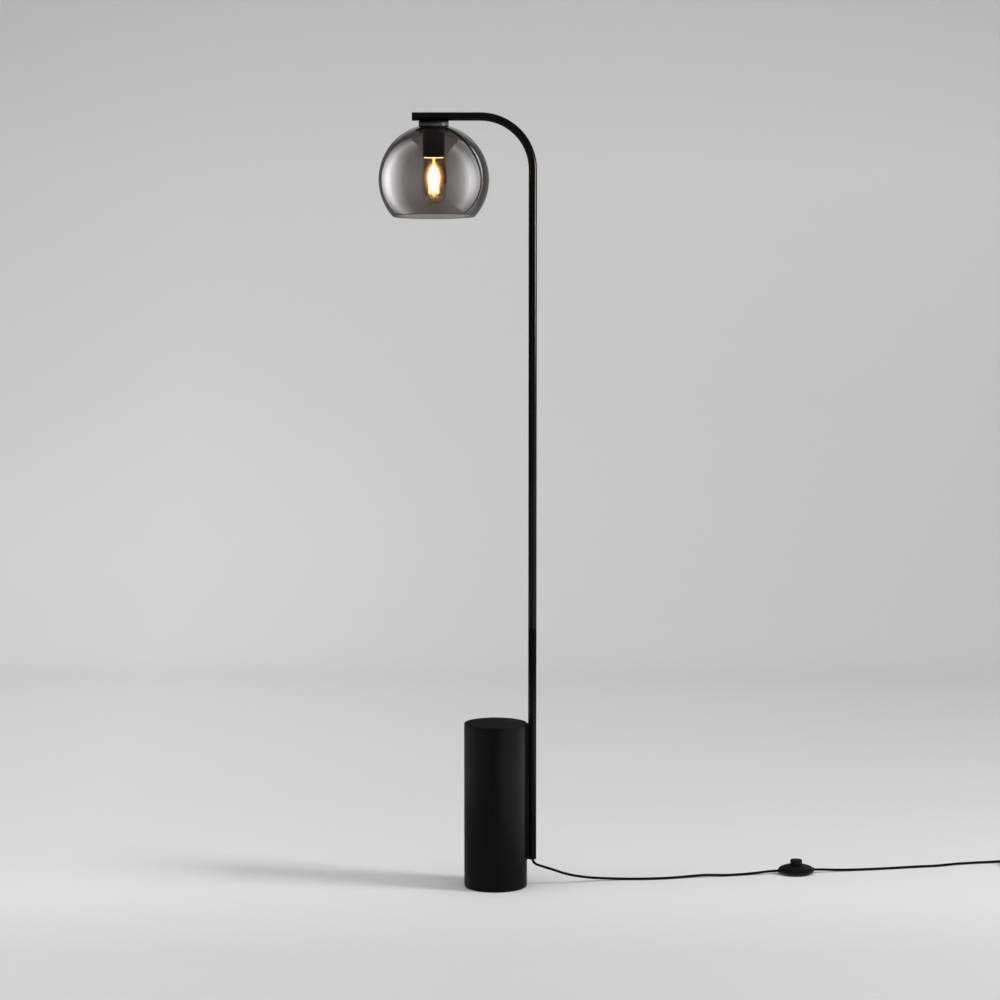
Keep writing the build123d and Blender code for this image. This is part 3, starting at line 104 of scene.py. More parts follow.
class LampSizes(bpy.types.PropertyGroup):
    """Sizes of the dressed pieces, in metres"""

    base_radius: length("Base radius", 0.061, "Outside radius of the base tube and its lid")
    base_wall: length("Base wall", 0.002, "Wall of the base tube")
    sheet_edge: length("Sheet edge", 0.0004, "Rounding on the edges of painted sheet and tube")
    pad_radius: length("Foot pad radius", 0.058, "Radius of the felt pad under the base")
    tube_radius: length("Tube radius", 0.008, "Outside radius of the pole and arm")
    tube_wall: length("Tube wall", 0.0015, "Wall of the pole and arm")
    bend_radius: length("Bend radius", 0.1, "Radius of the bend, at the tube's middle line")
    cup_radius: length("Cup radius", 0.0285, "Outside radius of the cup over the globe")
    glass_radius: length("Globe radius", 0.1052, "Outside radius of the glass globe")
    glass_wall: length("Glass wall", 0.0025, "Thickness of the globe's glass")
    holder_radius: length("Lampholder radius", 0.0212, "Outside radius of the lampholder")
    bulb_radius: length("Bulb radius", 0.023, "Greatest radius of the bulb's glass")
    cord_diameter: length("Cord diameter", 0.005, "Diameter of the cord")
    switch_radius: length("Foot switch radius", 0.035, "Greatest radius of the foot switch")
    button_radius: length("Button radius", 0.01175, "Radius of the foot switch's button")
    turn_steps: IntProperty(
        name="Turn steps", description="Facets round a turned piece", default=144, min=24, max=512
    )


class LampColours(bpy.types.PropertyGroup):
    """Colours of the finishes"""

    coat: colour("Powder coat", (0.0034, 0.0030, 0.0028), "Satin black on the base, pole and arm")
    plastic: colour("Black plastic", (0.0040, 0.0040, 0.0040), "Foot switch, plug and lampholder")
    rubber: colour("Rubber", (0.0045, 0.0045, 0.0045), "Bushing, gaskets and grommets")
    cord: colour("Cord cover", (0.0030, 0.0030, 0.0030), "Cover of the cord")
    felt: colour("Felt", (0.0130, 0.0125, 0.0120), "Pad under the base")
    smoke: colour("Smoked glass", (0.38, 0.34, 0.32), "Tint of the globe")
    amber: colour("Bulb glass", (0.99, 0.88, 0.70), "Tint of the bulb's glass")
    glow: colour("Filament glow", (1.0, 0.56, 0.18), "Light of the filaments")
    glare: colour("Glare", (1.0, 0.38, 0.11), "Glare round the filaments")
    backdrop: colour("Backdrop", (0.76, 0.76, 0.76), "Floor and backdrop")
    glare_strength: FloatProperty(
        name="Glare strength", description="Strength of the glare round the filaments", default=24.0, min=0.0
    )
    glow_strength: FloatProperty(
        name="Glow strength", description="Strength of the filaments' light", default=300.0, min=0.0
    )


# --- Mesh helpers -----------------------------------------------------------------------------
WIRE_SNAP = 1e-6
SLIP = 0.0001  # play where one piece slides into another


def profile_mesh(corners, segments=4):
    """A wire in the XZ plane through corners of (radius, height, rounding)."""
    bm = bmesh.new()
    verts = [bm.verts.new((c[0], 0.0, c[1])) for c in corners]
    for vert, after in zip(verts, verts[1:] + verts[:1]):
        bm.edges.new((vert, after))
    for vert, place in [(v, c) for v, c in zip(verts, corners) if len(c) > 2 and c[2] > 0]:
        bmesh.ops.bevel(
            bm, geom=[vert], offset=place[2], offset_type="OFFSET", segments=segments, profile=0.5,
            affect="VERTICES", material=-1,
        )
    return bm


def spin_round(bm, steps):
    """Spin everything in a mesh a full turn about the Z axis and close it."""
    on_axis = [e for e in bm.edges if all(Vector(v.co.xy).length < WIRE_SNAP for v in e.verts)]
    bmesh.ops.delete(bm, geom=on_axis, context="EDGES")
    bmesh.ops.spin(
        bm, geom=bm.verts[:] + bm.edges[:], cent=(0.0, 0.0, 0.0), axis=(0.0, 0.0, 1.0), angle=2 * math.pi,
        steps=steps, use_merge=True, use_duplicate=False,
    )
    bmesh.ops.remove_doubles(bm, verts=bm.verts, dist=WIRE_SNAP)
    bmesh.ops.recalc_face_normals(bm, faces=bm.faces)


def turned(corners, steps, place=(0.0, 0.0, 0.0), turn=None, segments=4):
    """A closed profile of (radius, height, rounding) corners turned about the Z axis, then placed."""
    bm = profile_mesh(corners, segments)
    spin_round(bm, steps)
    if turn is not None:
        bmesh.ops.transform(bm, matrix=turn, verts=bm.verts)
    bmesh.ops.translate(bm, vec=place, verts=bm.verts)
    return bm


def piece(name, bm, coat, body="lamp", stands_for=(), sharp=35.0):
    """Make an object of a bmesh, with its finish and the body it rides on, and hide the CAD nodes it stands
    for.
    """
    mesh = bpy.data.meshes.new(name)
    bm.to_mesh(mesh)
    bm.free()
    mesh.shade_smooth()
    mesh.set_sharp_from_angle(angle=math.radians(sharp))
    mesh.materials.append(FINISHES[coat])
    thing = bpy.data.objects.new(name, mesh)
    bpy.context.scene.collection.objects.link(thing)
    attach(thing, body)
    if stands_for:
        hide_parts(*stands_for)
    return thing


def of_kind(geom, kind):
    """The verts or edges among what an operator gives back."""
    return [g for g in geom if isinstance(g, kind)]


def sizes():
    return bpy.context.scene.lamp_sizes


def colours():
    return bpy.context.scene.lamp_colours


# --- Cord routes, in metres ---------------------------------------------------------------------
def beside_switch(distance):
    """A point on the line of the switch's two cord holes."""
    return (
        SWITCH.x + distance * math.cos(SWITCH_TURN), SWITCH.y + distance * math.sin(SWITCH_TURN),
        CORD_HOLE_Z,
    )


LYING = 0.0026  # height of the cord's middle where it lies on the floor
ROUTE_TO_SWITCH = [
    (0.0710, 0.0000, 0.0600), (0.0714, 0.0001, 0.0515), (0.0768, 0.0009, 0.0434), (0.0895, 0.0036, 0.0386),
    (0.1100, 0.0095, 0.0310), (0.1390, 0.0205, 0.0186), (0.1740, 0.0355, 0.0094), (0.2110, 0.0475, 0.0044),
    (0.2520, 0.0515, LYING), (0.3000, 0.0518, LYING), (0.3450, 0.0605, LYING), (0.3820, 0.0725, 0.0032),
    (0.4040, 0.0770, 0.0042), (0.4260, 0.0795, 0.0041), (0.4500, 0.0830, LYING), (0.4840, 0.0915, LYING),
    (0.5140, 0.0995, 0.0036), beside_switch(-0.047), beside_switch(-0.0195),
]
COIL_CENTRE = Vector((1.055, 0.175, 0.0))
COIL_LAYERS = 4
COIL_TURNS_PER_LAYER = 1.6875
COIL_TURN_PITCH = 0.0064
COIL_LAYER_PITCH = 0.0057
COIL_REVERSAL = 0.5
COIL_FIRST_Z = 0.0040
COIL_MEAN_RADIUS = 0.0275
COIL_POINTS_PER_TURN = 16
COIL_INNER = COIL_MEAN_RADIUS - COIL_TURNS_PER_LAYER * COIL_TURN_PITCH / 2
COIL_OUTER = COIL_MEAN_RADIUS + COIL_TURNS_PER_LAYER * COIL_TURN_PITCH / 2
COIL_TOP_Z = COIL_FIRST_Z + (COIL_LAYERS - 1) * COIL_LAYER_PITCH
COIL_ENTRY = (COIL_CENTRE.x - 0.005, COIL_CENTRE.y + COIL_OUTER, COIL_FIRST_Z)
COIL_EXIT = (COIL_CENTRE.x + COIL_OUTER, COIL_CENTRE.y - 0.005, COIL_TOP_Z)
LAYER_TURNS = COIL_TURNS_PER_LAYER + COIL_REVERSAL
COIL_TURNS = COIL_LAYERS * LAYER_TURNS - COIL_REVERSAL


def coil_place(turns):
    """Point on the coil after a number of turns: in and out over its layers, clockwise."""
    layer = min(int(turns / LAYER_TURNS), COIL_LAYERS - 1)
    in_layer = turns - layer * LAYER_TURNS
    wound = min(in_layer, COIL_TURNS_PER_LAYER) * COIL_TURN_PITCH
    radius = COIL_OUTER - wound if layer % 2 == 0 else COIL_INNER + wound
    climb = max(in_layer - COIL_TURNS_PER_LAYER, 0) / COIL_REVERSAL
    z = COIL_FIRST_Z + COIL_LAYER_PITCH * (layer + (1 - math.cos(math.pi * climb)) / 2)
    angle = math.pi / 2 - 2 * math.pi * turns
    return (
        COIL_CENTRE.x + radius * math.cos(angle), COIL_CENTRE.y + radius * math.sin(angle), z,
    )


COIL_STEPS = round(COIL_TURNS * COIL_POINTS_PER_TURN)
ROUTE_FROM_SWITCH = [
    beside_switch(0.0195), beside_switch(0.047), (0.6720, 0.1265, 0.0036), (0.7100, 0.1335, LYING),
    (0.7520, 0.1405, LYING), (0.7950, 0.1510, LYING), (0.8380, 0.1620, LYING), (0.8780, 0.1695, LYING),
    (0.9140, 0.1870, LYING), (0.9520, 0.1975, LYING), (0.9880, 0.2035, 0.0029),
    (1.0190, COIL_ENTRY[1], COIL_FIRST_Z), COIL_ENTRY,
    *[coil_place(COIL_TURNS * i / COIL_STEPS) for i in range(COIL_STEPS + 1)], COIL_EXIT,
    (COIL_EXIT[0] + 0.0002, 0.1520, COIL_TOP_Z - 0.0003), (COIL_EXIT[0] + 0.0006, 0.1270, 0.0136),
    (COIL_EXIT[0] + 0.0002, 0.1040, PLUG.z + 0.0002), (PLUG.x, 0.0860, PLUG.z),
]


def flex(name, route, finish):
    """A cord as a smooth curve with a round section."""
    curve = bpy.data.curves.new(name, "CURVE")
    curve.dimensions = "3D"
    curve.bevel_depth = sizes().cord_diameter / 2
    curve.bevel_resolution = 5
    curve.use_fill_caps = True
    curve.resolution_u = 8
    spline = curve.splines.new("NURBS")
    spline.points.add(len(route) - 1)
    for point, place in zip(spline.points, route):
        point.co = (*place, 1.0)
    spline.order_u = 3
    spline.use_endpoint_u = True
    curve.materials.append(finish)
    thing = bpy.data.objects.new(name, curve)
    bpy.context.scene.collection.objects.link(thing)
    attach(thing, "lamp")
    return thing


# --- Materials ------------------------------------------------------------------------------------
GROUPS = {}
FINISHES = {}
DUST_COLOUR = (0.16, 0.155, 0.15, 1.0)
WARM = (1.0, 0.90, 0.84, 1.0)
EDGE_ON = (0.42, 0.60)  # share of facing over which glass darkens towards its outline
# A painted glow across a strip of glass, rising and falling between two heights.
PAINTED_GLOW_STRIP = ((0.0, 0.0), (0.35, 1.0), (0.65, 1.0), (1.0, 0.0))


def opaque(parts):
    """A colour with full alpha."""
    return (*parts, 1.0)


def feed(tree, value, socket):
    """Link an output to a socket, or set the socket's own value."""
    if isinstance(value, bpy.types.NodeSocket):
        tree.links.new(value, socket)
    else:
        socket.default_value = value


def put(tree, kind, values=(), **settings):
    """Add a node with settings, and with a value or a link on its named sockets."""
    node = tree.nodes.new(kind)
    for key, value in settings.items():
        setattr(node, key, value)
    for key, value in dict(values).items():
        feed(tree, value, node.inputs[key])
    return node


def calc(tree, operation, *values, **settings):
    """Result of an operation on values or links."""
    return put(tree, "ShaderNodeMath", enumerate(values), operation=operation, **settings).outputs[0]


def remap(tree, value, low=0.0, high=1.0, to_low=0.0, to_high=1.0):
    """A value moved from one range to another and held at its ends."""
    values = {"Value": value, "From Min": low, "From Max": high, "To Min": to_low, "To Max": to_high}
    return put(tree, "ShaderNodeMapRange", values).outputs["Result"]


def mixed(tree, share, first, second, blend="MIX"):
    """Two colours mixed by a share."""
    values = {0: share, 6: first, 7: second}
    return put(tree, "ShaderNodeMix", values, data_type="RGBA", blend_type=blend).outputs[2]


def times(tree, first, second):
    """One colour multiplied by another."""
    return mixed(tree, 1.0, first, second, "MULTIPLY")


def ramp(tree, stops, place):
    """A grey that follows stops of (position, value)."""
    node = put(tree, "ShaderNodeValToRGB", {"Fac": place})
    elements = node.color_ramp.elements
    while len(elements) < len(stops):
        elements.new(0.5)
    for element, (at, value) in zip(elements, stops):
        element.position = at
        element.color = (value, value, value, 1.0)
    return node.outputs["Color"]


def object_place(tree):
    """The shaded point in the object's own frame."""
    return put(tree, "ShaderNodeTexCoord").outputs["Object"]


def split(tree, vector):
    """The X, Y and Z of a vector."""
    return put(tree, "ShaderNodeSeparateXYZ", {0: vector}).outputs


def raised(tree, height, distance):
    """A normal that follows a height."""
    values = {"Strength": 1.0, "Distance": distance, "Height": height}
    return put(tree, "ShaderNodeBump", values).outputs["Normal"]


def surface(tree, node):
    """Make a shader node the material's surface."""
    feed(tree, node.outputs[0], tree.nodes["Material Output"].inputs["Surface"])


def new_material(name):
    """A material with its node tree and its shader."""
    material = bpy.data.materials.new(name)
    material.use_nodes = True
    tree = material.node_tree
    return material, tree, tree.nodes["Principled BSDF"]


def new_group(name, inputs, outputs):
    """A shader node group with these sockets, what it is given and where its results go."""
    tree = bpy.data.node_groups.new(name, "ShaderNodeTree")
    for kind, label, value in inputs:
        socket = tree.interface.new_socket(name=label, in_out="INPUT", socket_type=kind)
        if value is not None:
            socket.default_value = value
    for label in outputs:
        tree.interface.new_socket(name=label, in_out="OUTPUT", socket_type="NodeSocketFloat")
    return tree, tree.nodes.new("NodeGroupInput").outputs, tree.nodes.new("NodeGroupOutput").inputs


def noise(tree, place, scale, detail, roughness):
    """A noise texture's value."""
    values = {"Vector": place, "Scale": scale, "Detail": detail, "Roughness": roughness}
    return put(tree, "ShaderNodeTexNoise", values).outputs["Fac"]


def grain_group():
    """Fine grain for bumps and slow cloudiness for tone and gloss."""
    tree, given, result = new_group(
        "Grain and cloud",
        [
            ("NodeSocketVector", "Vector", None), ("NodeSocketFloat", "Grain scale", 900.0),
            ("NodeSocketFloat", "Cloud scale", 12.0), ("NodeSocketFloat", "Cloud contrast", 1.0),
        ],
        ["Grain", "Cloud"],
    )
    slow = noise(tree, given["Vector"], given["Cloud scale"], 4.0, 0.55)
    centred = calc(tree, "SUBTRACT", remap(tree, slow, 0.3, 0.7), 0.5)
    scaled = calc(tree, "MULTIPLY", centred, given["Cloud contrast"])
    feed(tree, noise(tree, given["Vector"], given["Grain scale"], 3.0, 0.6), result["Grain"])
    feed(tree, calc(tree, "ADD", scaled, 0.5, use_clamp=True), result["Cloud"])
    return tree


def dust_group():
    """Settled dust: a mask of faces that look up, broken up by noise."""
    tree, given, result = new_group(
        "Settled dust", [("NodeSocketVector", "Vector", None), ("NodeSocketFloat", "Amount", 0.1)],
        ["Dust"],
    )
    normal = put(tree, "ShaderNodeNewGeometry").outputs["Normal"]
    upward = remap(tree, split(tree, normal)["Z"], 0.5, 1.0)
    specks = remap(tree, noise(tree, given["Vector"], 55.0, 6.0, 0.7), 0.35, 0.75)
    both = calc(tree, "MULTIPLY", upward, specks)
    feed(tree, calc(tree, "MULTIPLY", both, given["Amount"], use_clamp=True), result["Dust"])
    return tree


def group_node(tree, maker, place, **values):
    """Outputs of a shared group, built on its first use, at a place and with values on its sockets."""
    if maker not in GROUPS:
        GROUPS[maker] = maker()
    sockets = {key.replace("_", " ").capitalize(): value for key, value in values.items()}
    return put(tree, "ShaderNodeGroup", {"Vector": place, **sockets}, node_tree=GROUPS[maker]).outputs


def finish(
    name, tint, rough=(0.3, 0.4), tone=0.12, grain_scale=900.0, cloud_scale=12.0, bump=0.00003, dust=0.0,
    painted_highlight_band=None, **plain,
):
    """A solid finish: tone and gloss vary slowly, a fine grain raises the surface, dust may settle, and a
    painted highlight may make it paler below one height, fading out up to a second."""
    material, tree, shader = new_material(name)
    for key, value in plain.items():
        shader.inputs[key.replace("_", " ").title().replace("Ior", "IOR")].default_value = value
    place = object_place(tree)
    grain = group_node(tree, grain_group, place, grain_scale=grain_scale, cloud_scale=cloud_scale)
    dark = opaque(c * (1 - tone) for c in tint)
    light = opaque(min(c * (1 + tone), 1.0) for c in tint)
    shade = mixed(tree, grain["Cloud"], dark, light)
    if dust:
        shade = mixed(tree, group_node(tree, dust_group, place, amount=dust)["Dust"], shade, DUST_COLOUR)
    # Painted highlight: below the lower height the colour is mixed towards a paler one, fading out by the
    # upper height.
    if painted_highlight_band:
        low, high, highlight_colour = painted_highlight_band
        shade = mixed(tree, remap(tree, split(tree, place)["Z"], low, high, 1.0, 0.0), shade, opaque(highlight_colour))
    feed(tree, shade, shader.inputs["Base Color"])
    feed(tree, remap(tree, grain["Cloud"], 0.0, 1.0, *rough), shader.inputs["Roughness"])
    if bump:
        feed(tree, raised(tree, grain["Grain"], bump), shader.inputs["Normal"])
    FINISHES[name] = material
    return material


def glass(name, tint, ior, rim=1.0, wave=0.0, lit=None):
    """Clear coloured glass: its tint drifts slowly, its faces are a little wavy, and it is darker by a share
    where it is seen edge-on. Between two heights it may carry a painted glow, an emission strip in the
    filaments' colour."""
    material, tree, shader = new_material(name)
    shader.inputs["Roughness"].default_value = 0.0
    shader.inputs["IOR"].default_value = ior
    shader.inputs["Transmission Weight"].default_value = 1.0
    place = object_place(tree)
    grain = group_node(tree, grain_group, place, grain_scale=26.0, cloud_scale=9.0)
    drift = 0.03
    dark = opaque(c * (1 - drift) for c in tint)
    light = opaque(min(c * (1 + drift), 1.0) for c in tint)
    facing = put(tree, "ShaderNodeLayerWeight", {"Blend": 0.5}).outputs["Facing"]
    edge = opaque(c * rim for c in tint)
    shade = mixed(tree, remap(tree, facing, *EDGE_ON), mixed(tree, grain["Cloud"], dark, light), edge)
    feed(tree, shade, shader.inputs["Base Color"])
    if wave:
        feed(tree, raised(tree, grain["Grain"], wave), shader.inputs["Normal"])
    # Painted glow: emission in the filaments' colour on the glass between two heights.
    if lit:
        low, high, strength = lit
        painted_glow_strip = ramp(tree, PAINTED_GLOW_STRIP, remap(tree, split(tree, place)["Z"], low, high))
        feed(tree, times(tree, painted_glow_strip, opaque(colours().glow)), shader.inputs["Emission Color"])
        shader.inputs["Emission Strength"].default_value = strength
    FINISHES[name] = material
    return material


def glowing(name, tint, light, strength):
    """A rough surface that gives light of its own, in slightly uneven tones."""
    material = finish(name, tint, rough=(0.4, 0.6), tone=0.2, grain_scale=2600, bump=0.00002)
    tree = material.node_tree
    shader = tree.nodes["Principled BSDF"]
    cloud = group_node(tree, grain_group, object_place(tree), grain_scale=1500.0, cloud_scale=400.0)["Cloud"]
    uneven = mixed(tree, cloud, opaque(c * 0.8 for c in light), opaque(light))
    feed(tree, uneven, shader.inputs["Emission Color"])
    shader.inputs["Emission Strength"].default_value = strength
    return material


class LAMP_OT_finishes(bpy.types.Operator):
    """Make the materials and give each CAD node that stays its own"""

    bl_idname = "lamp.finishes"
    bl_label = "Finishes"

    def execute(self, context):
        c = colours()
        finish(
            "powder coat", c.coat, rough=(0.30, 0.37), bump=0.00002, grain_scale=1400, dust=0.03,
            specular_ior_level=0.30, specular_tint=WARM,
        )
        finish(
            "tube coat", c.coat, rough=(0.20, 0.26), bump=0.00001, grain_scale=1400, dust=0.03,
            specular_ior_level=0.20, specular_tint=WARM,
        )
        # The collar's lower part carries a painted highlight: its colour is paler there.
        cup_low = bottom("shade_cup")
        finish(
            "collar coat with painted highlight", c.coat, rough=(0.30, 0.37), bump=0.00001,
            painted_highlight_band=(cup_low + 0.0035, cup_low + 0.0065, (0.060, 0.058, 0.056)), specular_ior_level=0.28,
        )
        finish(
            "moulded plastic", c.plastic, rough=(0.40, 0.50), bump=0.00004, grain_scale=1100,
            specular_ior_level=0.3,
        )
        finish("lampholder plastic", c.plastic, rough=(0.30, 0.38), bump=0.00001)
        finish("rubber", c.rubber, rough=(0.62, 0.75), bump=0.00003, grain_scale=700)
        finish(
            "cord cover", c.cord, rough=(0.42, 0.52), bump=0.00002, grain_scale=600,
            specular_ior_level=0.15,
        )
        finish(
            "felt", c.felt, rough=(0.95, 1.0), bump=0.0003, grain_scale=1500, tone=0.3,
            sheen_weight=0.4, sheen_roughness=0.5,
        )
        finish("zinc plate", (0.55, 0.56, 0.57), rough=(0.28, 0.42), metallic=1.0, cloud_scale=90)
        finish("black zinc", (0.030, 0.030, 0.031), rough=(0.34, 0.46), metallic=1.0, cloud_scale=90)
        finish("bright pin", (0.70, 0.69, 0.66), rough=(0.12, 0.22), metallic=1.0, cloud_scale=60)
        finish("brass", (0.72, 0.52, 0.24), rough=(0.2, 0.34), metallic=1.0, cloud_scale=70)
        finish(
            "grey casting", (0.060, 0.058, 0.056), rough=(0.6, 0.8), bump=0.0006, grain_scale=260,
            tone=0.3, metallic=0.6,
        )
        finish("glazed ceramic", (0.80, 0.78, 0.73), rough=(0.12, 0.2), bump=0.0, coat_weight=0.4)
        finish("bulb cap metal", (0.66, 0.65, 0.62), rough=(0.22, 0.32), metallic=1.0)
        finish("spring wire", (0.58, 0.58, 0.57), rough=(0.2, 0.3), metallic=1.0, grain_scale=2500)
        finish("woven strap", c.felt, rough=(0.8, 0.9), bump=0.0002, grain_scale=1800, tone=0.25)
        glass("smoked glass", c.smoke, 1.5, rim=0.33, wave=0.000012)
        # The bulb's shoulder and the stem carry a painted glow that stands in for the filaments' light on
        # the glass.
        glass("bulb glass with painted glow", c.amber, 1.45, rim=0.45, wave=0.000006, lit=(1.4132, 1.4154, 3.5))
        glass("stem glass with painted glow", (0.97, 0.97, 0.96), 1.5, rim=0.8, lit=(1.392, 1.418, 3.0))
        # The lead wires and the filaments' end caps carry a painted glow in the glare colour.
        glowing("wire with painted glow", (0.66, 0.65, 0.62), c.glare, 5.0)
        glowing("filament glow", (0.9, 0.6, 0.25), c.glow, c.glow_strength)
        by_slot = {
            "black_powder_coat": "powder coat", "zinc_steel": "zinc plate", "ballast_iron": "grey casting",
            "felt": "felt", "black_rubber": "rubber", "black_plastic": "moulded plastic",
            "smoked_glass": "smoked glass", "clear_glass": "bulb glass with painted glow", "ceramic": "glazed ceramic",
            "brass": "brass", "bulb_nickel": "bulb cap metal", "filament": "filament glow",
            "cord_black": "cord cover", "spring_steel": "spring wire",
        }
        own = {
            "nipple": "black zinc", "cup_locknut": "black zinc", "arm_nut": "black zinc",
            "bulb_leads": "wire with painted glow",
        }
        for part in frame["record"]["subparts"]:
            mesh = frame["nodes"][part["node"]].data
            mesh.materials.clear()
            mesh.materials.append(FINISHES[own.get(part["node"], by_slot[part["material_slot"]])])
        return {"FINISHED"}


class LAMP_OT_base(bpy.types.Operator):
    """Make the base tube, its lid and the felt pad"""

    bl_idname = "lamp.base"
    bl_label = "Base"

    def execute(self, context):
        s = sizes()
        edge = s.sheet_edge
        low, high = bottom("base_tube"), top("base_tube")
        inner = s.base_radius - s.base_wall
        tube = turned(
            [(inner, low), (s.base_radius, low, edge), (s.base_radius, high, edge * 1.5), (inner, high)],
            s.turn_steps,
        )
        piece("base_shell", tube, "powder coat", stands_for=["base_tube"])
        spigot = inner - SLIP
        lid = turned(
            [
                (0, high), (spigot - 0.003, high), (spigot - 0.003, high - 0.008), (spigot, high - 0.008),
                (spigot, high), (s.base_radius - 0.0012, high), (s.base_radius - 0.0012, high + 0.0005),
                (s.base_radius, high + 0.0009, edge * 0.5), (s.base_radius, top("base_lid"), edge * 2.5),
                (0, top("base_lid")),
            ],
            s.turn_steps,
        )
        piece("base_cover", lid, "powder coat", stands_for=["base_lid"])
        pad = turned(
            [
                (0, 0), (s.pad_radius, 0, 0.0007), (s.pad_radius, top("foot_pad"), 0.0004),
                (0, top("foot_pad")),
            ],
            s.turn_steps,
        )
        piece("base_pad", pad, "felt", stands_for=["foot_pad"])
        return {"FINISHED"}


class LAMP_OT_pole(bpy.types.Operator):
    """Make the two pole sections, the arm's end cap and the cord bushing"""

    bl_idname = "lamp.pole"
    bl_label = "Pole and arm"

    def execute(self, context):
        s = sizes()
        coat = "tube coat"
        outer, inner = s.tube_radius, s.tube_radius - s.tube_wall
        steps = s.turn_steps * 2 // 3
        low, joint = bottom("pole_lower"), top("pole_lower")
        lower = turned(
            [(inner, low), (outer, low, 0.0003), (outer, joint, 0.0001), (inner, joint)], steps,
            place=(POLE_X, 0, 0), segments=2,
        )
        piece("pole_foot_section", lower, coat, stands_for=["pole_lower"])

        bm = bmesh.new()
        bmesh.ops.create_circle(bm, segments=steps, radius=outer)
        bmesh.ops.translate(bm, vec=(POLE_X, 0, joint), verts=bm.verts)
        bend_start = ARM_Z - s.bend_radius
        run = bmesh.ops.extrude_edge_only(bm, edges=bm.edges[:])["geom"]
        ring = of_kind(run, bmesh.types.BMVert)
        bmesh.ops.translate(bm, vec=(0, 0, bend_start - joint), verts=ring)
        edges = [g for g in run if isinstance(g, bmesh.types.BMEdge) and all(v in ring for v in g.verts)]
        spun = bmesh.ops.spin(
            bm, geom=ring + edges, cent=(POLE_X - s.bend_radius, 0, bend_start), axis=(0, 1, 0),
            angle=-math.pi / 2, steps=40, use_merge=False,
        )["geom_last"]
        ring = of_kind(spun, bmesh.types.BMVert)
        edges = of_kind(spun, bmesh.types.BMEdge)
        run = bmesh.ops.extrude_edge_only(bm, edges=edges)["geom"]
        ring = of_kind(run, bmesh.types.BMVert)
        arm_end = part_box("pole_upper")[0].x
        bmesh.ops.translate(bm, vec=(arm_end - ring[0].co.x, 0, 0), verts=ring)
        bmesh.ops.recalc_face_normals(bm, faces=bm.faces)
        bmesh.ops.solidify(bm, geom=bm.faces[:], thickness=s.tube_wall)
        piece("pole_arm_section", bm, coat, stands_for=["pole_upper"])

        along_x = Matrix.Rotation(math.pi / 2, 4, "Y")
        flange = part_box("pole_upper")[0].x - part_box("arm_end_cap")[0].x
        cap = turned(
            [
                (0, 0), (outer, 0, 0.00035), (outer, flange, 0.0001), (inner - SLIP, flange),
                (inner - SLIP, flange + 0.009), (inner - 0.0021, flange + 0.009), (inner - 0.0021, flange),
                (0, flange),
            ],
            steps, place=(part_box("arm_end_cap")[0].x, 0, ARM_Z), turn=along_x,
        )
        piece("arm_tip", cap, coat, stands_for=["arm_end_cap"])

        hole = s.cord_diameter / 2 + SLIP
        plug_in = inner - SLIP
        low, high = bottom("cord_bushing"), top("cord_bushing")
        bush = turned(
            [(hole, low, 0.0009), (plug_in, low, 0.0012), (plug_in, high), (hole, high)], steps,
            place=(POLE_X, 0, 0),
        )
        piece("pole_grommet", bush, "rubber", stands_for=["cord_bushing"])
        return {"FINISHED"}


# --- Shapes that follow the CAD model's formulas ---------------------------------------------------
GLOBE_Z = 1.3725
NECK_RADIUS = 0.0225
MOUTH_DEPTH = 0.0707


def arc(across, height, radius, first, last, steps):
    """Points of an arc in a profile, its angles in degrees from the outward direction."""
    angles = [math.radians(first + (last - first) * i / steps) for i in range(steps + 1)]
    return [(across + radius * math.cos(a), height + radius * math.sin(a)) for a in angles]


def globe_height(radius, across):
    """Height of the globe's face of this radius at a distance from its axis."""
    return GLOBE_Z + math.sqrt(radius**2 - across**2)


def joined(*parts):
    """One mesh of several."""
    whole = bmesh.new()
    for part in parts:
        mesh = bpy.data.meshes.new("part")
        part.to_mesh(mesh)
        part.free()
        whole.from_mesh(mesh)
        bpy.data.meshes.remove(mesh)
    return whole


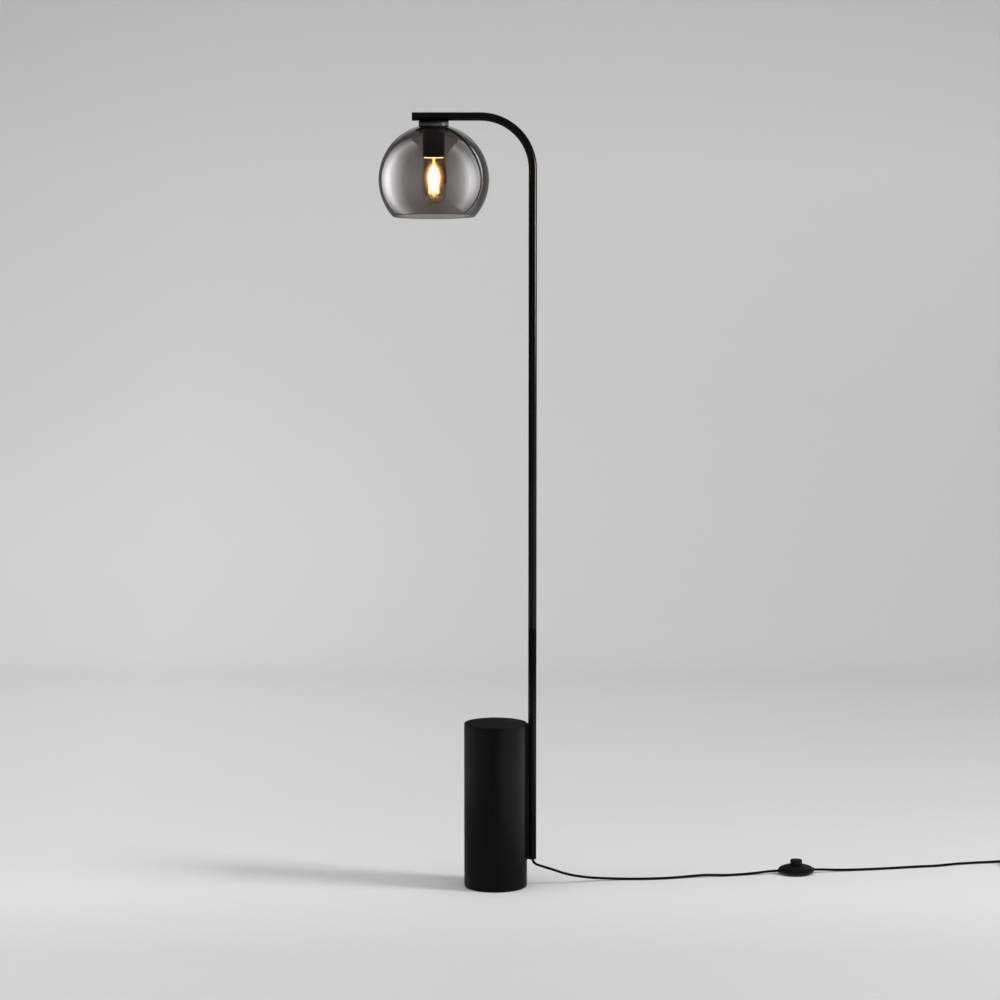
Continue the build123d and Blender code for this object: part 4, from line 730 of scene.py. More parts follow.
class LAMP_OT_shade(bpy.types.Operator):
    """Make the cup over the globe, the glass globe and the ring and gaskets that clamp it"""

    bl_idname = "lamp.shade"
    bl_label = "Globe"

    def execute(self, context):
        s = sizes()
        axis = (GLOBE_X, 0, 0)
        low, high = bottom("shade_cup"), top("shade_cup")
        hole, wall, plate = 0.0051, 0.002, 0.0025
        cup = turned(
            [
                (hole, high, 0.0002), (s.cup_radius, high, 0.001), (s.cup_radius, low, 0.0004),
                (s.cup_radius - wall, low, 0.0004), (s.cup_radius - wall, high - plate),
                (hole, high - plate),
            ],
            s.turn_steps, place=axis,
        )
        piece("globe_collar", cup, "collar coat with painted highlight", stands_for=["shade_cup"])

        outer = s.glass_radius
        inner = outer - s.glass_wall
        profile = []
        for radius, ends in ((outer, 1), (inner, -1)):
            first = math.degrees(math.acos(NECK_RADIUS / radius))
            last = -math.degrees(math.asin(MOUTH_DEPTH / radius))
            points = arc(0, GLOBE_Z, radius, first, last, 96)[::ends]
            rounds = (0.0004, 0.0011)[::ends]
            profile += [(*points[0], rounds[0]), *points[1:-1], (*points[-1], rounds[1])]
        globe = turned(profile, s.turn_steps * 4 // 3, place=axis, segments=6)
        shade = piece(
            "globe_glass", globe, "smoked glass", stands_for=["glass_shade"], sharp=70,
        )
        shade.visible_shadow = False

        low, high = bottom("shade_ring"), top("shade_ring")
        ring_radius = s.cup_radius - 0.0005
        hub = s.holder_radius + 0.00006
        ring = turned(
            [
                (hub, low, 0.0003), (hub + 0.0027, low, 0.0004), (hub + 0.0027, high - 0.0025, 0.0006),
                (ring_radius - 0.0022, high - 0.0025, 0.0006), (ring_radius - 0.0022, low, 0.0004),
                (ring_radius, low, 0.0005), (ring_radius, high, 0.0005), (hub, high, 0.0003),
            ],
            s.turn_steps * 2, place=axis,
        )
        grips, grip_depth = 24, 0.0005
        for vert in ring.verts:
            out = vert.co - Vector((GLOBE_X, 0, vert.co.z))
            if out.length > ring_radius - 0.0004 and vert.co.z < high - 0.0004:
                phase = (math.atan2(out.y, out.x) * grips / (2 * math.pi)) % 1.0
                dip = max(0.0, 1 - (abs(phase - 0.5) * 7.0) ** 2)
                vert.co -= out.normalized() * grip_depth * dip
        piece("globe_clamp", ring, "lampholder plastic", stands_for=["shade_ring"])

        for name, node, width, face, lift in (
            ("collar_gasket", "cup_gasket", 0.0036, outer, 0.0001),
            ("clamp_gasket", "ring_gasket", 0.0044, inner, -0.0001),
        ):
            reach = (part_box(node)[1].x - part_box(node)[0].x) / 2
            flat = top(node) if lift > 0 else bottom(node)
            gasket = turned(
                [
                    (reach - width, globe_height(face, reach - width) + lift, 0.0002),
                    (reach, globe_height(face, reach) + lift, 0.0002), (reach, flat, 0.0003),
                    (reach - width, flat, 0.0002),
                ],
                s.turn_steps, place=axis, segments=2,
            )
            piece(name, gasket, "rubber", stands_for=[node])
        return {"FINISHED"}


class LAMP_OT_lampholder(bpy.types.Operator):
    """Make the lampholder's threaded cap and its sleeve"""

    bl_idname = "lamp.lampholder"
    bl_label = "Lampholder"

    def execute(self, context):
        s = sizes()
        axis = (GLOBE_X, 0, 0)
        low, high = bottom("holder_cap"), top("holder_cap")
        wall, plate, nipple = 0.002, 0.003, 0.00506
        outer, bore = s.holder_radius, s.holder_radius - wall
        pitch, depth, runs = 0.0018, 0.0004, 11
        thread = []
        for i in range(runs):
            z = low + 0.0016 + pitch * i
            thread += [
                (outer, z, 0.0001), (outer - depth, z + pitch * 0.3, 0.0002),
                (outer, z + pitch * 0.6, 0.0001),
            ]
        cap = turned(
            [
                (bore, low), (outer, low, 0.0002), *thread, (outer, high, 0.001), (nipple, high),
                (nipple, high - plate), (bore, high - plate, 0.0006),
            ],
            s.turn_steps, place=axis, segments=2,
        )
        piece("holder_top", cap, "lampholder plastic", stands_for=["holder_cap"])

        mouth, spigot, split = bottom("holder_sleeve"), top("holder_sleeve"), low
        core_low = bottom("holder_core")
        seat = 0.0181
        sleeve = turned(
            [
                (bore, mouth, 0.0005), (outer, mouth, 0.001), (outer, mouth + 0.0032, 0.0003),
                (outer - 0.0003, mouth + 0.0037, 0.0003), (outer - 0.0003, split - 0.0012, 0.0003),
                (outer, split - 0.0008, 0.0002), (outer, split, 0.0002), (bore - 0.00006, split),
                (bore - 0.00006, spigot), (seat, spigot), (seat, core_low), (seat - 0.0008, core_low),
                (seat - 0.0008, core_low - 0.003), (bore, core_low - 0.003),
            ],
            s.turn_steps, place=axis,
        )
        piece(
            "holder_skirt", sleeve, "lampholder plastic", stands_for=["holder_sleeve"],
        )
        return {"FINISHED"}


CAP_LOW = 1.4284  # the bulb cap's lower edge


def envelope(inset):
    """Outline of the bulb's glass from the neck's top to its lowest point, drawn in by an inset."""
    neck, shoulder, body = 0.0125 - inset, 0.0184 - inset, sizes().bulb_radius - inset
    shoulder_z, widest_z, dome_z = CAP_LOW - 0.0145, CAP_LOW - 0.0565, CAP_LOW - 0.0803
    rise, swell = shoulder_z - widest_z, body - shoulder
    flank = (rise**2 + swell**2) / (2 * swell)
    tilt = math.degrees(math.asin(rise / flank))
    return [
        (neck, CAP_LOW + 0.016), (neck, CAP_LOW, 0.0008), (shoulder, shoulder_z, 0.0015),
        *arc(body - flank, widest_z, flank, tilt, 0, 18)[1:], *arc(0, dome_z, body, 0, -90, 24)[:-1],
        (0, dome_z - body),
    ]


class LAMP_OT_bulb(bpy.types.Operator):
    """Make the bulb's glass, its stem and the glowing filaments with their end caps"""

    bl_idname = "lamp.bulb"
    bl_label = "Bulb"

    def execute(self, context):
        s = sizes()
        axis = (GLOBE_X, 0, 0)
        glass_wall = 0.0008
        shell = turned(envelope(0) + envelope(glass_wall)[::-1], s.turn_steps, place=axis)
        bulb = piece(
            "bulb_envelope", shell, "bulb glass with painted glow", stands_for=["bulb_glass"], sharp=60,
        )
        bulb.visible_shadow = False

        high = top("bulb_stem")
        stem = turned(
            [
                (0, high), (0.0115, high, 0.0003), (0.0115, high - 0.0012, 0.0005),
                (0.0045, CAP_LOW + 0.004, 0.001), (0.0025, CAP_LOW - 0.004, 0.002),
                (0.0025, CAP_LOW - 0.032, 0.0008), (0.0010, CAP_LOW - 0.0335, 0.0004),
                (0.0010, bottom("bulb_stem"), 0.0006), (0, bottom("bulb_stem")),
            ],
            s.turn_steps // 2, place=axis,
        )
        mount = piece(
            "bulb_mount", stem, "stem glass with painted glow", stands_for=["bulb_stem"], sharp=60
        )
        mount.visible_shadow = False

        count, thick = 4, 0.001
        upper, lower = CAP_LOW - 0.037, CAP_LOW - 0.083
        rods, tips = [], []
        for i in range(count):
            angle = math.radians(360 / count * (i + 0.5))
            ends = [
                Vector((GLOBE_X + r * math.cos(angle), r * math.sin(angle), z))
                for r, z in ((0.0085, upper), (0.0115, lower))
            ]
            run = ends[1] - ends[0]
            turn = run.to_track_quat("Z", "Y").to_matrix().to_4x4()
            end = 0.0018
            rods.append(
                turned(
                    [
                        (0, end), (thick, end, 0.0003), (thick, run.length - end, 0.0003),
                        (0, run.length - end),
                    ],
                    16, place=ends[0], turn=turn,
                )
            )
            for start in (0, run.length - end):
                tips.append(
                    turned(
                        [(0, start), (thick, start, 0.0003), (thick, start + end), (0, start + end)],
                        16, place=ends[0], turn=turn,
                    )
                )
        piece("glowing_rods", joined(*rods), "filament glow", stands_for=["bulb_filaments"])
        # The filaments' end caps carry a painted glow.
        piece("rod_ends", joined(*tips), "wire with painted glow")
        return {"FINISHED"}


class LAMP_OT_foot_switch(bpy.types.Operator):
    """Make the foot switch's cover, button, grommets and rubber ring"""

    bl_idname = "lamp.foot_switch"
    bl_label = "Foot switch"

    def execute(self, context):
        s = sizes()
        axis = (SWITCH.x, SWITCH.y, 0)
        wall, skirt_round, shoulder_round, shoulder_angle = 0.002, 0.006, 0.0065, 66
        widest, skirt_low, lip = 0.0068, 0.0008, 0.001
        skirt = s.switch_radius - skirt_round
        shoulder = s.switch_radius - shoulder_round
        crown_reach = shoulder / math.cos(math.radians(shoulder_angle))
        crown = crown_reach + shoulder_round
        crown_z = widest - crown_reach * math.sin(math.radians(shoulder_angle))
        hole = s.button_radius + 0.0003

        def outline(inset, bottom_z):
            """The cover's outline from its skirt up to the button's hole."""
            hole_angle = math.degrees(math.acos(hole / (crown - inset)))
            low_angle = -math.degrees(math.asin((widest - bottom_z) / (skirt_round - inset)))
            return (
                arc(skirt, widest, skirt_round - inset, low_angle, 0, 20)
                + arc(shoulder, widest, shoulder_round - inset, 0, shoulder_angle, 16)[1:]
                + arc(0, crown_z, crown - inset, shoulder_angle, hole_angle, 16)[1:]
            )

        outside = outline(0, skirt_low + 0.00001)
        seam_z, seam_half, seam_depth = 0.0031, 0.0003, 0.0006
        grooved = []
        for point in outside:
            if point[0] > skirt and point[1] < widest and abs(point[1] - seam_z) < seam_half * 1.2:
                continue
            grooved.append(point)
        at = next(i for i, p in enumerate(grooved) if p[1] > seam_z)

        def on_skirt(z):
            """Point of the skirt's round at a height."""
            return skirt + math.sqrt(skirt_round**2 - (widest - z) ** 2)

        grooved[at:at] = [
            (on_skirt(seam_z - seam_half), seam_z - seam_half, 0.00012),
            (on_skirt(seam_z) - seam_depth, seam_z - seam_half * 0.6),
            (on_skirt(seam_z) - seam_depth, seam_z + seam_half * 0.6),
            (on_skirt(seam_z + seam_half), seam_z + seam_half, 0.00012),
        ]
        grooved[-1] = (*grooved[-1], 0.0005)
        inside = outline(wall, 0.0032)
        plate_top = 0.003
        cover = turned(
            [
                *grooved, (*inside[-1], 0.0002), *inside[-2::-1], (skirt - lip, plate_top),
                (skirt - lip, skirt_low, 0.0003),
            ],
            s.turn_steps * 4 // 3, place=axis, segments=3,
        )
        piece("switch_dome", cover, "moulded plastic", stands_for=["switch_cover"])

        radius, high, button_wall = s.button_radius, top("switch_button"), 0.0018
        flange = radius + 0.0018
        flange_low, post_low = bottom("switch_button"), 0.0163
        dish, rim = 0.0005, 0.0085
        button = turned(
            [
                (0, high - dish), (rim * 0.5, high - dish * 0.8), (rim, high, 0.0012),
                (radius, high, 0.0018), (radius, flange_low + 0.0015),
                (flange, flange_low + 0.0015, 0.0003), (flange, flange_low, 0.0003),
                (radius - button_wall, flange_low), (radius - button_wall, high - button_wall, 0.0008),
                (0.002, high - button_wall), (0.002, post_low, 0.0003), (0, post_low),
            ],
            s.turn_steps, place=axis, segments=5,
        )
        piece(
            "switch_cap", button, "moulded plastic", body="button", stands_for=["switch_button"],
        )

        low, high = bottom("switch_spring"), top("switch_spring")
        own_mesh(frame["nodes"]["switch_spring"])

        ring = turned(
            [(0.010, 0, 0.0002), (0.017, 0, 0.0003), (0.017, 0.001, 0.0002), (0.010, 0.001, 0.0002)],
            s.turn_steps // 2, place=axis, segments=2,
        )
        piece("switch_foot", ring, "rubber", stands_for=["switch_ring"])

        through, sleeve, lip_out = s.cord_diameter / 2 + SLIP, 0.0037, 0.0008
        start, face = s.switch_radius - 0.004, s.switch_radius
        grommets = []
        for side in (1, -1):
            turn = Matrix.Rotation(SWITCH_TURN + (0 if side > 0 else math.pi), 4, "Z") @ Matrix.Rotation(
                math.pi / 2, 4, "Y"
            )
            grommets.append(
                turned(
                    [
                        (through, start), (sleeve, start, 0.0002), (sleeve, face), (sleeve + lip_out, face),
                        (sleeve + lip_out, face + lip_out, 0.0004), (through, face + lip_out, 0.0003),
                    ],
                    s.turn_steps // 3, place=(SWITCH.x, SWITCH.y, CORD_HOLE_Z), turn=turn, segments=3,
                )
            )
        piece(
            "switch_cord_seals", joined(*grommets), "rubber", stands_for=["switch_grommets"],
        )
        return {"FINISHED"}


class LAMP_OT_plug(bpy.types.Operator):
    """Make the plug with its ribbed strain relief, its pins and the strap round the spare cord"""

    bl_idname = "lamp.plug"
    bl_label = "Plug and strap"

    def execute(self, context):
        s = sizes()
        low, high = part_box("plug_body")
        middle = Vector((PLUG.x, 0, PLUG.z))
        half, face, collar, back = 0.01765, 0.030, 0.009, 0.064
        tail, thick, edge = 0.007, (high.z - low.z), 0.003
        bm = bmesh.new()
        outline = [
            (-half, face), (half, face), (half, face + collar), (tail, back), (-tail, back),
            (-half, face + collar),
        ]
        verts = [bm.verts.new((PLUG.x + x, y, low.z)) for x, y in outline]
        shape = bm.faces.new(verts)
        run = bmesh.ops.extrude_face_region(bm, geom=[shape])["geom"]
        bmesh.ops.translate(bm, vec=(0, 0, thick), verts=of_kind(run, bmesh.types.BMVert))
        bmesh.ops.recalc_face_normals(bm, faces=bm.faces)
        bmesh.ops.bevel(
            bm, geom=bm.edges[:], offset=edge, offset_type="OFFSET", segments=6, profile=0.5,
            affect="EDGES", material=-1,
        )
        grips = []
        for i in range(4):
            for side in (-1, 1):
                bar = bmesh.new()
                bmesh.ops.create_cube(bar, size=1.0)
                wide = 0.0155 - 0.0022 * i
                bmesh.ops.scale(bar, vec=(wide, 0.0018, 0.0016), verts=bar.verts)
                bmesh.ops.bevel(
                    bar, geom=bar.edges[:], offset=0.0005, segments=3, profile=0.5, affect="EDGES",
                    material=-1
                )
                at = (PLUG.x, face + collar + 0.004 + 0.0042 * i, middle.z + side * (thick / 2 - 0.0003))
                bmesh.ops.translate(bar, vec=at, verts=bar.verts)
                grips.append(bar)
        root, end, length_out = 0.0055, 0.0037, 0.022
        ribs, groove = 6, 0.0007
        relief = [(0, -0.003), (root, -0.003)]
        for i in range(ribs):
            y = length_out * (i + 0.45) / (ribs + 0.3)
            r = root + (end - root) * y / length_out
            relief += [
                (r, y, 0.0003), (r - groove, y + 0.0006, 0.0002), (r - groove, y + 0.0014, 0.0002),
                (r, y + 0.0020, 0.0003),
            ]
        relief += [(end, length_out, 0.0005), (0, length_out)]
        along_y = Matrix.Rotation(-math.pi / 2, 4, "X")
        boot = turned(relief, s.turn_steps // 2, place=(PLUG.x, back, PLUG.z), turn=along_y, segments=2)
        piece(
            "plug_shell", joined(bm, boot, *grips), "moulded plastic", stands_for=["plug_body"],
        )

        pin, spacing, tip, bare = 0.002, 0.0186, 0.011, 0.020
        core, sleeve = 0.0014, 0.0018
        pins, sleeves = [], []
        for side in (-0.5, 0.5):
            place = (PLUG.x + side * spacing, 0, PLUG.z)
            pins.append(
                turned(
                    [
                        (0, tip), (pin, tip, 0.0010), (pin, bare, 0.0001), (core, bare),
                        (core, face + 0.011), (0, face + 0.011),
                    ],
                    s.turn_steps // 3, place=place, turn=along_y,
                )
            )
            sleeves.append(
                turned(
                    [(core + 0.00006, bare), (sleeve, bare, 0.0001), (sleeve, face), (core + 0.00006, face)],
                    s.turn_steps // 3, place=place, turn=along_y, segments=2,
                )
            )
        piece("plug_contacts", joined(*pins), "bright pin", stands_for=["plug_pins"])
        piece(
            "plug_pin_sleeves", joined(*sleeves), "moulded plastic", stands_for=["plug_sleeves"],
        )

        play, thin, wide = 0.0004, 0.0009, 0.009
        across = COIL_TURNS_PER_LAYER * COIL_TURN_PITCH + s.cord_diameter + 2 * play
        tall = COIL_TOP_Z - COIL_FIRST_Z + s.cord_diameter + 2 * play
        mid_z = (COIL_FIRST_Z + COIL_TOP_Z) / 2
        loops = []
        for grow, rounding in ((thin, 0.0039), (0, 0.003)):
            a, b = across / 2 + grow, tall / 2 + grow
            loops.append(
                profile_mesh(
                    [(COIL_MEAN_RADIUS + x * a, mid_z + z * b, rounding)
                        for x, z in ((-1, -1), (1, -1), (1, 1), (-1, 1))],
                    segments=10,
                )
            )
        strap = joined(*loops)
        bmesh.ops.bridge_loops(strap, edges=strap.edges[:])
        run = bmesh.ops.extrude_face_region(strap, geom=strap.faces[:])["geom"]
        bmesh.ops.translate(strap, vec=(0, wide, 0), verts=of_kind(run, bmesh.types.BMVert))
        bmesh.ops.translate(strap, vec=(0, -wide / 2, 0), verts=strap.verts)
        bmesh.ops.recalc_face_normals(strap, faces=strap.faces)
        rims = [e for e in strap.edges if e.calc_face_angle(0) > math.radians(60)]
        bmesh.ops.bevel(
            strap, geom=rims, offset=0.0002, segments=2, profile=0.5, affect="EDGES", material=-1
        )
        bmesh.ops.rotate(
            strap, cent=(0, 0, 0), matrix=Matrix.Rotation(math.radians(225), 3, "Z"), verts=strap.verts,
        )
        bmesh.ops.translate(strap, vec=COIL_CENTRE, verts=strap.verts)
        piece("cord_strap", strap, "woven strap", stands_for=["coil_tie"])
        return {"FINISHED"}


class LAMP_OT_cords(bpy.types.Operator):
    """Lay the cord from the pole through the foot switch to the plug"""

    bl_idname = "lamp.cords"
    bl_label = "Cords"

    def execute(self, context):
        first = flex("cord_pole_to_switch", ROUTE_TO_SWITCH, FINISHES["cord cover"])
        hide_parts("cord_to_switch")
        second = flex("cord_switch_to_plug", ROUTE_FROM_SWITCH, FINISHES["cord cover"])
        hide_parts("cord_to_coil", "cord_coil", "cord_to_plug")
        inside = ("plate", "screws", "mechanism", "spring", "terminals", "clamps")
        on_first = [frame["nodes"][f"switch_{part}"] for part in inside]
        on_first += [bpy.data.objects[f"switch_{part}"] for part in ("dome", "cap", "foot", "cord_seals")]
        return {"FINISHED"}


# --- Stage ------------------------------------------------------------------------------------------
CAMERA_PLACE = (0.0085, -7.83315, 1.7731)
CAMERA_PITCH = 7.388
CAMERA_LENS = 147.9
SENSOR = 36.0
SKY_STRENGTH = (0.34, 0.05)  # as light, and as seen in reflections


def reflected(tree):
    """One for rays that come off a glossy face, and nothing for those that pass through glass."""
    path = put(tree, "ShaderNodeLightPath").outputs
    return calc(tree, "SUBTRACT", path["Is Glossy Ray"], path["Is Transmission Ray"], use_clamp=True)


def paper_material():
    """Backdrop paper, its colour carrying painted light and shade by height, depth and side, lighter in
    front, dark in reflections through a painted emission as a studio is, and clear from behind.
    """
    paper, tree, shader = new_material("backdrop paper with painted light")
    shader.inputs["Roughness"].default_value = 0.9
    shader.inputs["Specular IOR Level"].default_value = 0.1
    place = split(tree, object_place(tree))
    # Painted light and shade: the paper's colour is graded by height, by depth and across, and the wall is
    # held at a painted level.
    tone = ramp(tree, BACKDROP_PAINTED_SHADE_BY_HEIGHT, remap(tree, place["Z"], 0.0, 2.0))
    back = ramp(tree, BACKDROP_PAINTED_SHADE_BY_DEPTH, remap(tree, place["Y"], -2.0, 4.0))
    aside = remap(tree, place["X"], -1.6, 1.6)
    wall = remap(tree, place["Z"], 0.2, 1.2, 0.0, 0.8)
    even = mixed(tree, wall, ramp(tree, BACKDROP_PAINTED_LIGHT_ACROSS, aside), opaque([BACKDROP_WALL_PAINTED_LEVEL] * 3))
    level = times(tree, times(tree, tone, back), even)
    feed(tree, times(tree, opaque(colours().backdrop), level), shader.inputs["Base Color"])
    # Painted reflection: glossy rays see a fixed emission, graded across and fainter with depth, in place of
    # the lit paper.
    near = remap(tree, place["Y"], 1.0, 2.6, 1.0, 0.25)
    dim = put(
        tree, "ShaderNodeEmission", {"Color": ramp(tree, FLOOR_PAINTED_IN_REFLECTIONS, aside), "Strength": near},
    )
    mix = put(tree, "ShaderNodeMixShader", {0: reflected(tree), 1: shader.outputs[0], 2: dim.outputs[0]})
    behind = put(tree, "ShaderNodeNewGeometry").outputs["Backfacing"]
    clear = put(tree, "ShaderNodeBsdfTransparent").outputs[0]
    surface(tree, put(tree, "ShaderNodeMixShader", {0: behind, 1: mix.outputs[0], 2: clear}))
    return paper


def staged(name, bm, material, smooth=True):
    """Make a stage object of a bmesh."""
    mesh = bpy.data.meshes.new(name)
    bm.to_mesh(mesh)
    bm.free()
    if smooth:
        mesh.shade_smooth()
    mesh.materials.append(material)
    thing = bpy.data.objects.new(name, mesh)
    bpy.context.scene.collection.objects.link(thing)
    return thing


# Levels of painted light and shade in the backdrop's colour, standing in for the lamps' falloff.
BACKDROP_PAINTED_SHADE_BY_HEIGHT = ((0.0, 1.0), (0.04, 0.97), (0.3, 0.93), (0.6, 0.925), (0.85, 0.80))
BACKDROP_PAINTED_SHADE_BY_DEPTH = ((0.0, 0.72), (0.237, 0.74), (0.315, 0.85), (0.473, 0.86), (0.678, 0.97), (0.8, 1.0))
BACKDROP_PAINTED_LIGHT_ACROSS = ((0.0, 1.0), (0.23, 1.0), (0.5, 0.85), (0.77, 0.765), (1.0, 0.73))
BACKDROP_WALL_PAINTED_LEVEL = 0.86
# Painted reflection of the floor: emission levels across it that glossy rays see.
FLOOR_PAINTED_IN_REFLECTIONS = ((0.0, 0.55), (0.12, 0.34), (0.35, 0.15), (0.55, 0.17), (0.7, 0.55), (1.0, 0.85))
CARD_REACH = 0.6
CARD_FALL = ((0.0, 1.0), (0.2, 0.86), (0.39, 0.62), (0.5, 0.45), (0.75, 0.3), (1.0, 0.25))
CARD_HALF_HEIGHT = 0.8  # distance above or below the globe's middle at which CARD_FALL ends
SATIN_SPAN = (0.9, 1.6)  # heights between which SATIN_HEIGHTS runs
SATIN_STRIP = ((0.0, 0.0), (0.5, 0.0), (0.52, 1.0), (0.6, 1.0), (0.62, 0.0), (1.0, 0.0))
SATIN_HEIGHTS = ((0.0, 0.1), (0.07, 0.12), (0.43, 1.0), (0.76, 1.0), (0.83, 0.0), (1.0, 0.0))
CARDS = (
    # name, outline as azimuth from the front towards +X with its lowest and highest elevation,
    # strength in the glass, strength on satin faces, and stops from the first azimuth to the last
    (
        "card_left",
        (
            (-9.0, -44, -43), (-18.0, -47.5, -31), (-18.6, -47.5, 20), (-22.0, -49, 38), (-33.0, -53.5, 55),
            (-76.0, -58, 66), (-105.0, -50, 61), (-131.0, -34, 54),
        ),
        12.6, 0.0,
        (
            (0.0, 0.12), (0.146, 0.127), (0.278, 0.143), (0.422, 0.21), (0.587, 0.57), (0.752, 1.0),
            (0.835, 0.75), (0.908, 0.36), (1.0, 0.15),
        ),
    ),
    (
        "card_right",
        (
            (26.0, -26, 22), (29.0, -33, 38), (32.0, -38, 42), (42.0, -42, 54), (63.0, -48, 59),
            (98.0, -49, 60),
            (114.0, -42, 55), (114.6, -1, 55), (119.0, 9.5, 54), (123.0, 20, 53), (128.0, 30, 52),
        ),
        13.0, 34.0,
        (
            (0.0, 0.14), (0.049, 0.146), (0.253, 0.31), (0.382, 0.6), (0.484, 1.0), (0.592, 0.8),
            (0.701, 0.38), (0.843, 0.28), (1.0, 0.5),
        ),
    ),
    ("card_back", ((150.0, 20, 50), (210.0, 20, 50)), 0.9, 0.0, ((0.0, 1.0), (1.0, 1.0))),
)


def elevation(outline, turn, column):
    """Elevation of an outline's lower or upper edge at an azimuth."""
    for near, far in zip(outline, outline[1:]):
        share = (turn - near[0]) / (far[0] - near[0])
        if share <= 1:
            break
    return near[column] + (far[column] - near[column]) * min(max(share, 0.0), 1.0)


def reflection_card(name, outline, strength, satin_strength, stops):
    """A curved bright card round the globe's axis that only reflections show."""
    bm = bmesh.new()
    first, last = outline[0][0], outline[-1][0]
    start = math.radians(first)
    place = (GLOBE_X + CARD_REACH * math.sin(start), -CARD_REACH * math.cos(start))
    ends = [bm.verts.new((*place, z)) for z in (0, 1)]
    edge = bm.edges.new(ends)
    bmesh.ops.spin(
        bm, geom=ends + [edge], cent=(GLOBE_X, 0, 0), axis=(0, 0, 1), angle=math.radians(last - first),
        steps=60,
    )
    way = 1 if last > first else -1
    for vert in bm.verts:
        turn = way * ((way * math.degrees(math.atan2(vert.co.x - GLOBE_X, -vert.co.y)) + 1) % 360 - 1)
        lift = elevation(outline, turn, 2 if vert.co.z > 0.5 else 1)
        vert.co.z = GLOBE_Z + CARD_REACH * math.tan(math.radians(lift))
    material, tree, _ = new_material(name)
    place = split(tree, object_place(tree))
    across = calc(tree, "SUBTRACT", place["X"], GLOBE_X)
    ahead = calc(tree, "MULTIPLY", place["Y"], -1.0)
    azimuth = calc(tree, "ARCTAN2", across, ahead)
    along = remap(tree, azimuth, math.radians(first), math.radians(last))
    away = calc(tree, "ABSOLUTE", calc(tree, "SUBTRACT", place["Z"], GLOBE_Z))
    fall = ramp(tree, CARD_FALL, remap(tree, away, 0.0, CARD_HALF_HEIGHT))
    both = times(tree, ramp(tree, stops, along), fall)
    sharp = put(tree, "ShaderNodeLightPath").outputs["Is Singular Ray"]
    heights = ramp(tree, SATIN_HEIGHTS, remap(tree, place["Z"], *SATIN_SPAN))
    line = times(tree, ramp(tree, SATIN_STRIP, along), heights)
    values = {
        "Strength": remap(tree, sharp, 0.0, 1.0, satin_strength, strength),
        "Color": mixed(tree, sharp, line, both),
    }
    surface(tree, put(tree, "ShaderNodeEmission", values))
    card = staged(name, bm, material, smooth=False)
    card.visible_camera = card.visible_diffuse = card.visible_transmission = False
    card.visible_shadow = card.visible_volume_scatter = False


HALO_OUTLINE = (
    (0.0, 1.4080), (0.0060, 1.4062), (0.0120, 1.4005), (0.0170, 1.3920), (0.0200, 1.3820),
    (0.0204, 1.3740), (0.0190, 1.3655), (0.0160, 1.3570), (0.0118, 1.3485), (0.0066, 1.3410), (0.0, 1.3372),
)
HALO_FADES = (13.0, 1.6)
HALO_WIDE_SHARE = 0.045
HALO_CORE = (0.70, 0.93)
HALO_CORE_COLOUR = (1.0, 0.86, 0.62, 1.0)


def glow_halo():
    """The glare round the lit filaments, as a lens sees it: clear, with light that fades outwards."""
    bm = turned(HALO_OUTLINE, 64, place=(GLOBE_X, 0, 0))
    bmesh.ops.subdivide_edges(bm, edges=bm.edges[:], cuts=1, use_grid_fill=True, smooth=1.0)
    material, tree, _ = new_material("filament glare")
    facing = put(tree, "ShaderNodeLayerWeight", {"Blend": 0.5}).outputs["Facing"]
    inward = calc(tree, "SUBTRACT", 1.0, facing, use_clamp=True)
    tight, wide = (calc(tree, "POWER", inward, power) for power in HALO_FADES)
    fade = calc(tree, "MULTIPLY_ADD", wide, HALO_WIDE_SHARE, tight)
    core = remap(tree, inward, *HALO_CORE)
    values = {
        "Color": mixed(tree, core, opaque(colours().glare), HALO_CORE_COLOUR),
        "Strength": calc(tree, "MULTIPLY", fade, colours().glare_strength),
    }
    light = put(tree, "ShaderNodeEmission", values).outputs[0]
    clear = put(tree, "ShaderNodeBsdfTransparent").outputs[0]
    surface(tree, put(tree, "ShaderNodeAddShader", {0: clear, 1: light}))
    halo = staged("filament_glare", bm, material)
    halo.visible_diffuse = halo.visible_glossy = halo.visible_shadow = False


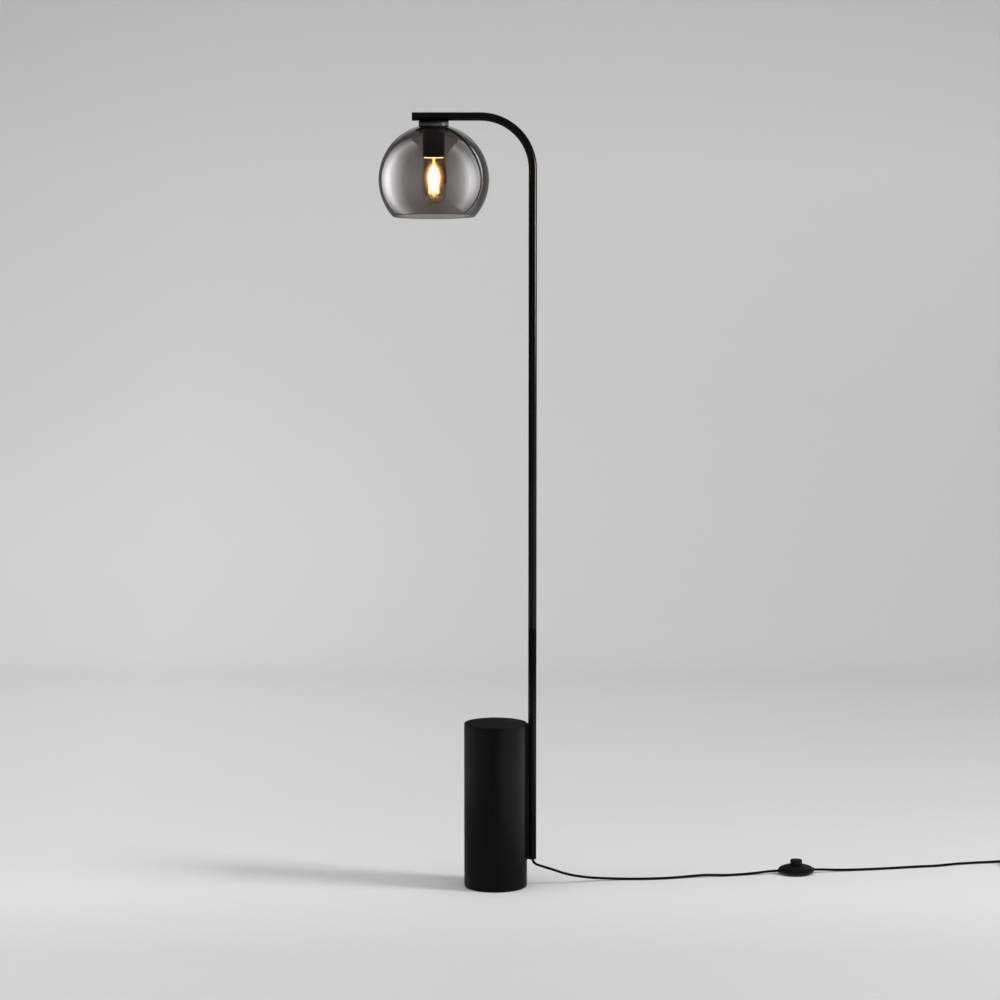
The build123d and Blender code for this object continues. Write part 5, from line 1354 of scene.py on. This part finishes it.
class LAMP_OT_stage(bpy.types.Operator):
    """Set up the camera, the floor with its curved backdrop, and the studio lights"""

    bl_idname = "lamp.stage"
    bl_label = "Stage"

    def execute(self, context):
        scene = context.scene
        scene.view_settings.view_transform = "Standard"
        camera_data = bpy.data.cameras.new("camera")
        camera_data.lens = CAMERA_LENS
        camera_data.sensor_width = SENSOR
        camera = bpy.data.objects.new("camera", camera_data)
        camera.location = CAMERA_PLACE
        camera.rotation_euler = (math.radians(90 - CAMERA_PITCH), 0, 0)
        scene.collection.objects.link(camera)
        scene.camera = camera

        bm = bmesh.new()
        front, bend, rise, radius, half = -14.0, 2.4, 6.0, 1.4, 14.0
        start = bm.verts.new((-half, front, 0))
        other = bm.verts.new((half, front, 0))
        edge = bm.edges.new((start, other))
        run = bmesh.ops.extrude_edge_only(bm, edges=[edge])["geom"]
        ends = of_kind(run, bmesh.types.BMVert)
        bmesh.ops.translate(bm, vec=(0, bend - front, 0), verts=ends)
        edges = [g for g in run if isinstance(g, bmesh.types.BMEdge) and all(v in ends for v in g.verts)]
        spun = bmesh.ops.spin(
            bm, geom=ends + edges, cent=(0, bend, radius), axis=(1, 0, 0), angle=math.pi / 2, steps=48,
        )["geom_last"]
        edges = of_kind(spun, bmesh.types.BMEdge)
        run = bmesh.ops.extrude_edge_only(bm, edges=edges)["geom"]
        ends = of_kind(run, bmesh.types.BMVert)
        bmesh.ops.translate(bm, vec=(0, 0, rise), verts=ends)
        bmesh.ops.recalc_face_normals(bm, faces=bm.faces)
        bm.faces.ensure_lookup_table()
        if bm.faces[0].normal.z < 0:
            bmesh.ops.reverse_faces(bm, faces=bm.faces)
        staged("backdrop", bm, paper_material())

        world = bpy.data.worlds.new("studio")
        world.use_nodes = True
        tree = world.node_tree
        sky = tree.nodes["Background"]
        feed(tree, remap(tree, reflected(tree), 0.0, 1.0, *SKY_STRENGTH), sky.inputs["Strength"])
        sky.inputs["Color"].default_value = (0.8, 0.8, 0.8, 1.0)
        scene.world = world

        aim = Vector((0.0, 0.0, 0.8))
        for name, place, size, power in (
            ("light_right", (3.4, -1.0, 2.2), (1.0, 1.0), 150.0),
            ("light_left", (-3.6, -1.0, 2.4), (2.0, 2.4), 40.0),
            ("light_top", (0.0, -0.6, 4.4), (4.0, 4.0), 116.0),
        ):
            data = bpy.data.lights.new(name, "AREA")
            data.shape = "RECTANGLE"
            data.size, data.size_y = size
            data.energy = power
            lamp = bpy.data.objects.new(name, data)
            lamp.location = place
            lamp.rotation_euler = (aim - Vector(place)).to_track_quat("-Z", "Y").to_euler()
            lamp.visible_glossy = lamp.visible_transmission = False
            scene.collection.objects.link(lamp)
        for card in CARDS:
            reflection_card(*card)
        glow_halo()
        return {"FINISHED"}


class LAMP_PT_panel(bpy.types.Panel):
    """Lists the sizes, colours and steps of the lamp"""

    bl_label = "Globe floor lamp"
    bl_idname = "LAMP_PT_panel"
    bl_space_type = "VIEW_3D"
    bl_region_type = "UI"
    bl_category = "Lamp"

    def draw(self, context):
        layout = self.layout
        for group in (context.scene.lamp_sizes, context.scene.lamp_colours):
            box = layout.box()
            for name in group.__annotations__:
                box.prop(group, name)
        for step in STEPS:
            layout.operator(step.bl_idname)


STEPS = (
    LAMP_OT_stage, LAMP_OT_finishes, LAMP_OT_base, LAMP_OT_pole, LAMP_OT_shade, LAMP_OT_lampholder,
    LAMP_OT_bulb, LAMP_OT_foot_switch, LAMP_OT_plug, LAMP_OT_cords,
)
CLASSES = (LampSizes, LampColours, *STEPS, LAMP_PT_panel)


def register():
    for cls in CLASSES:
        bpy.utils.register_class(cls)
    bpy.types.Scene.lamp_sizes = PointerProperty(type=LampSizes)
    bpy.types.Scene.lamp_colours = PointerProperty(type=LampColours)


def unregister():
    del bpy.types.Scene.lamp_colours
    del bpy.types.Scene.lamp_sizes
    for cls in reversed(CLASSES):
        bpy.utils.unregister_class(cls)


def main():
    register()
    for step in STEPS:
        family, name = step.bl_idname.split(".")
        getattr(getattr(bpy.ops, family), name)()


if __name__ == "__main__":
    main()
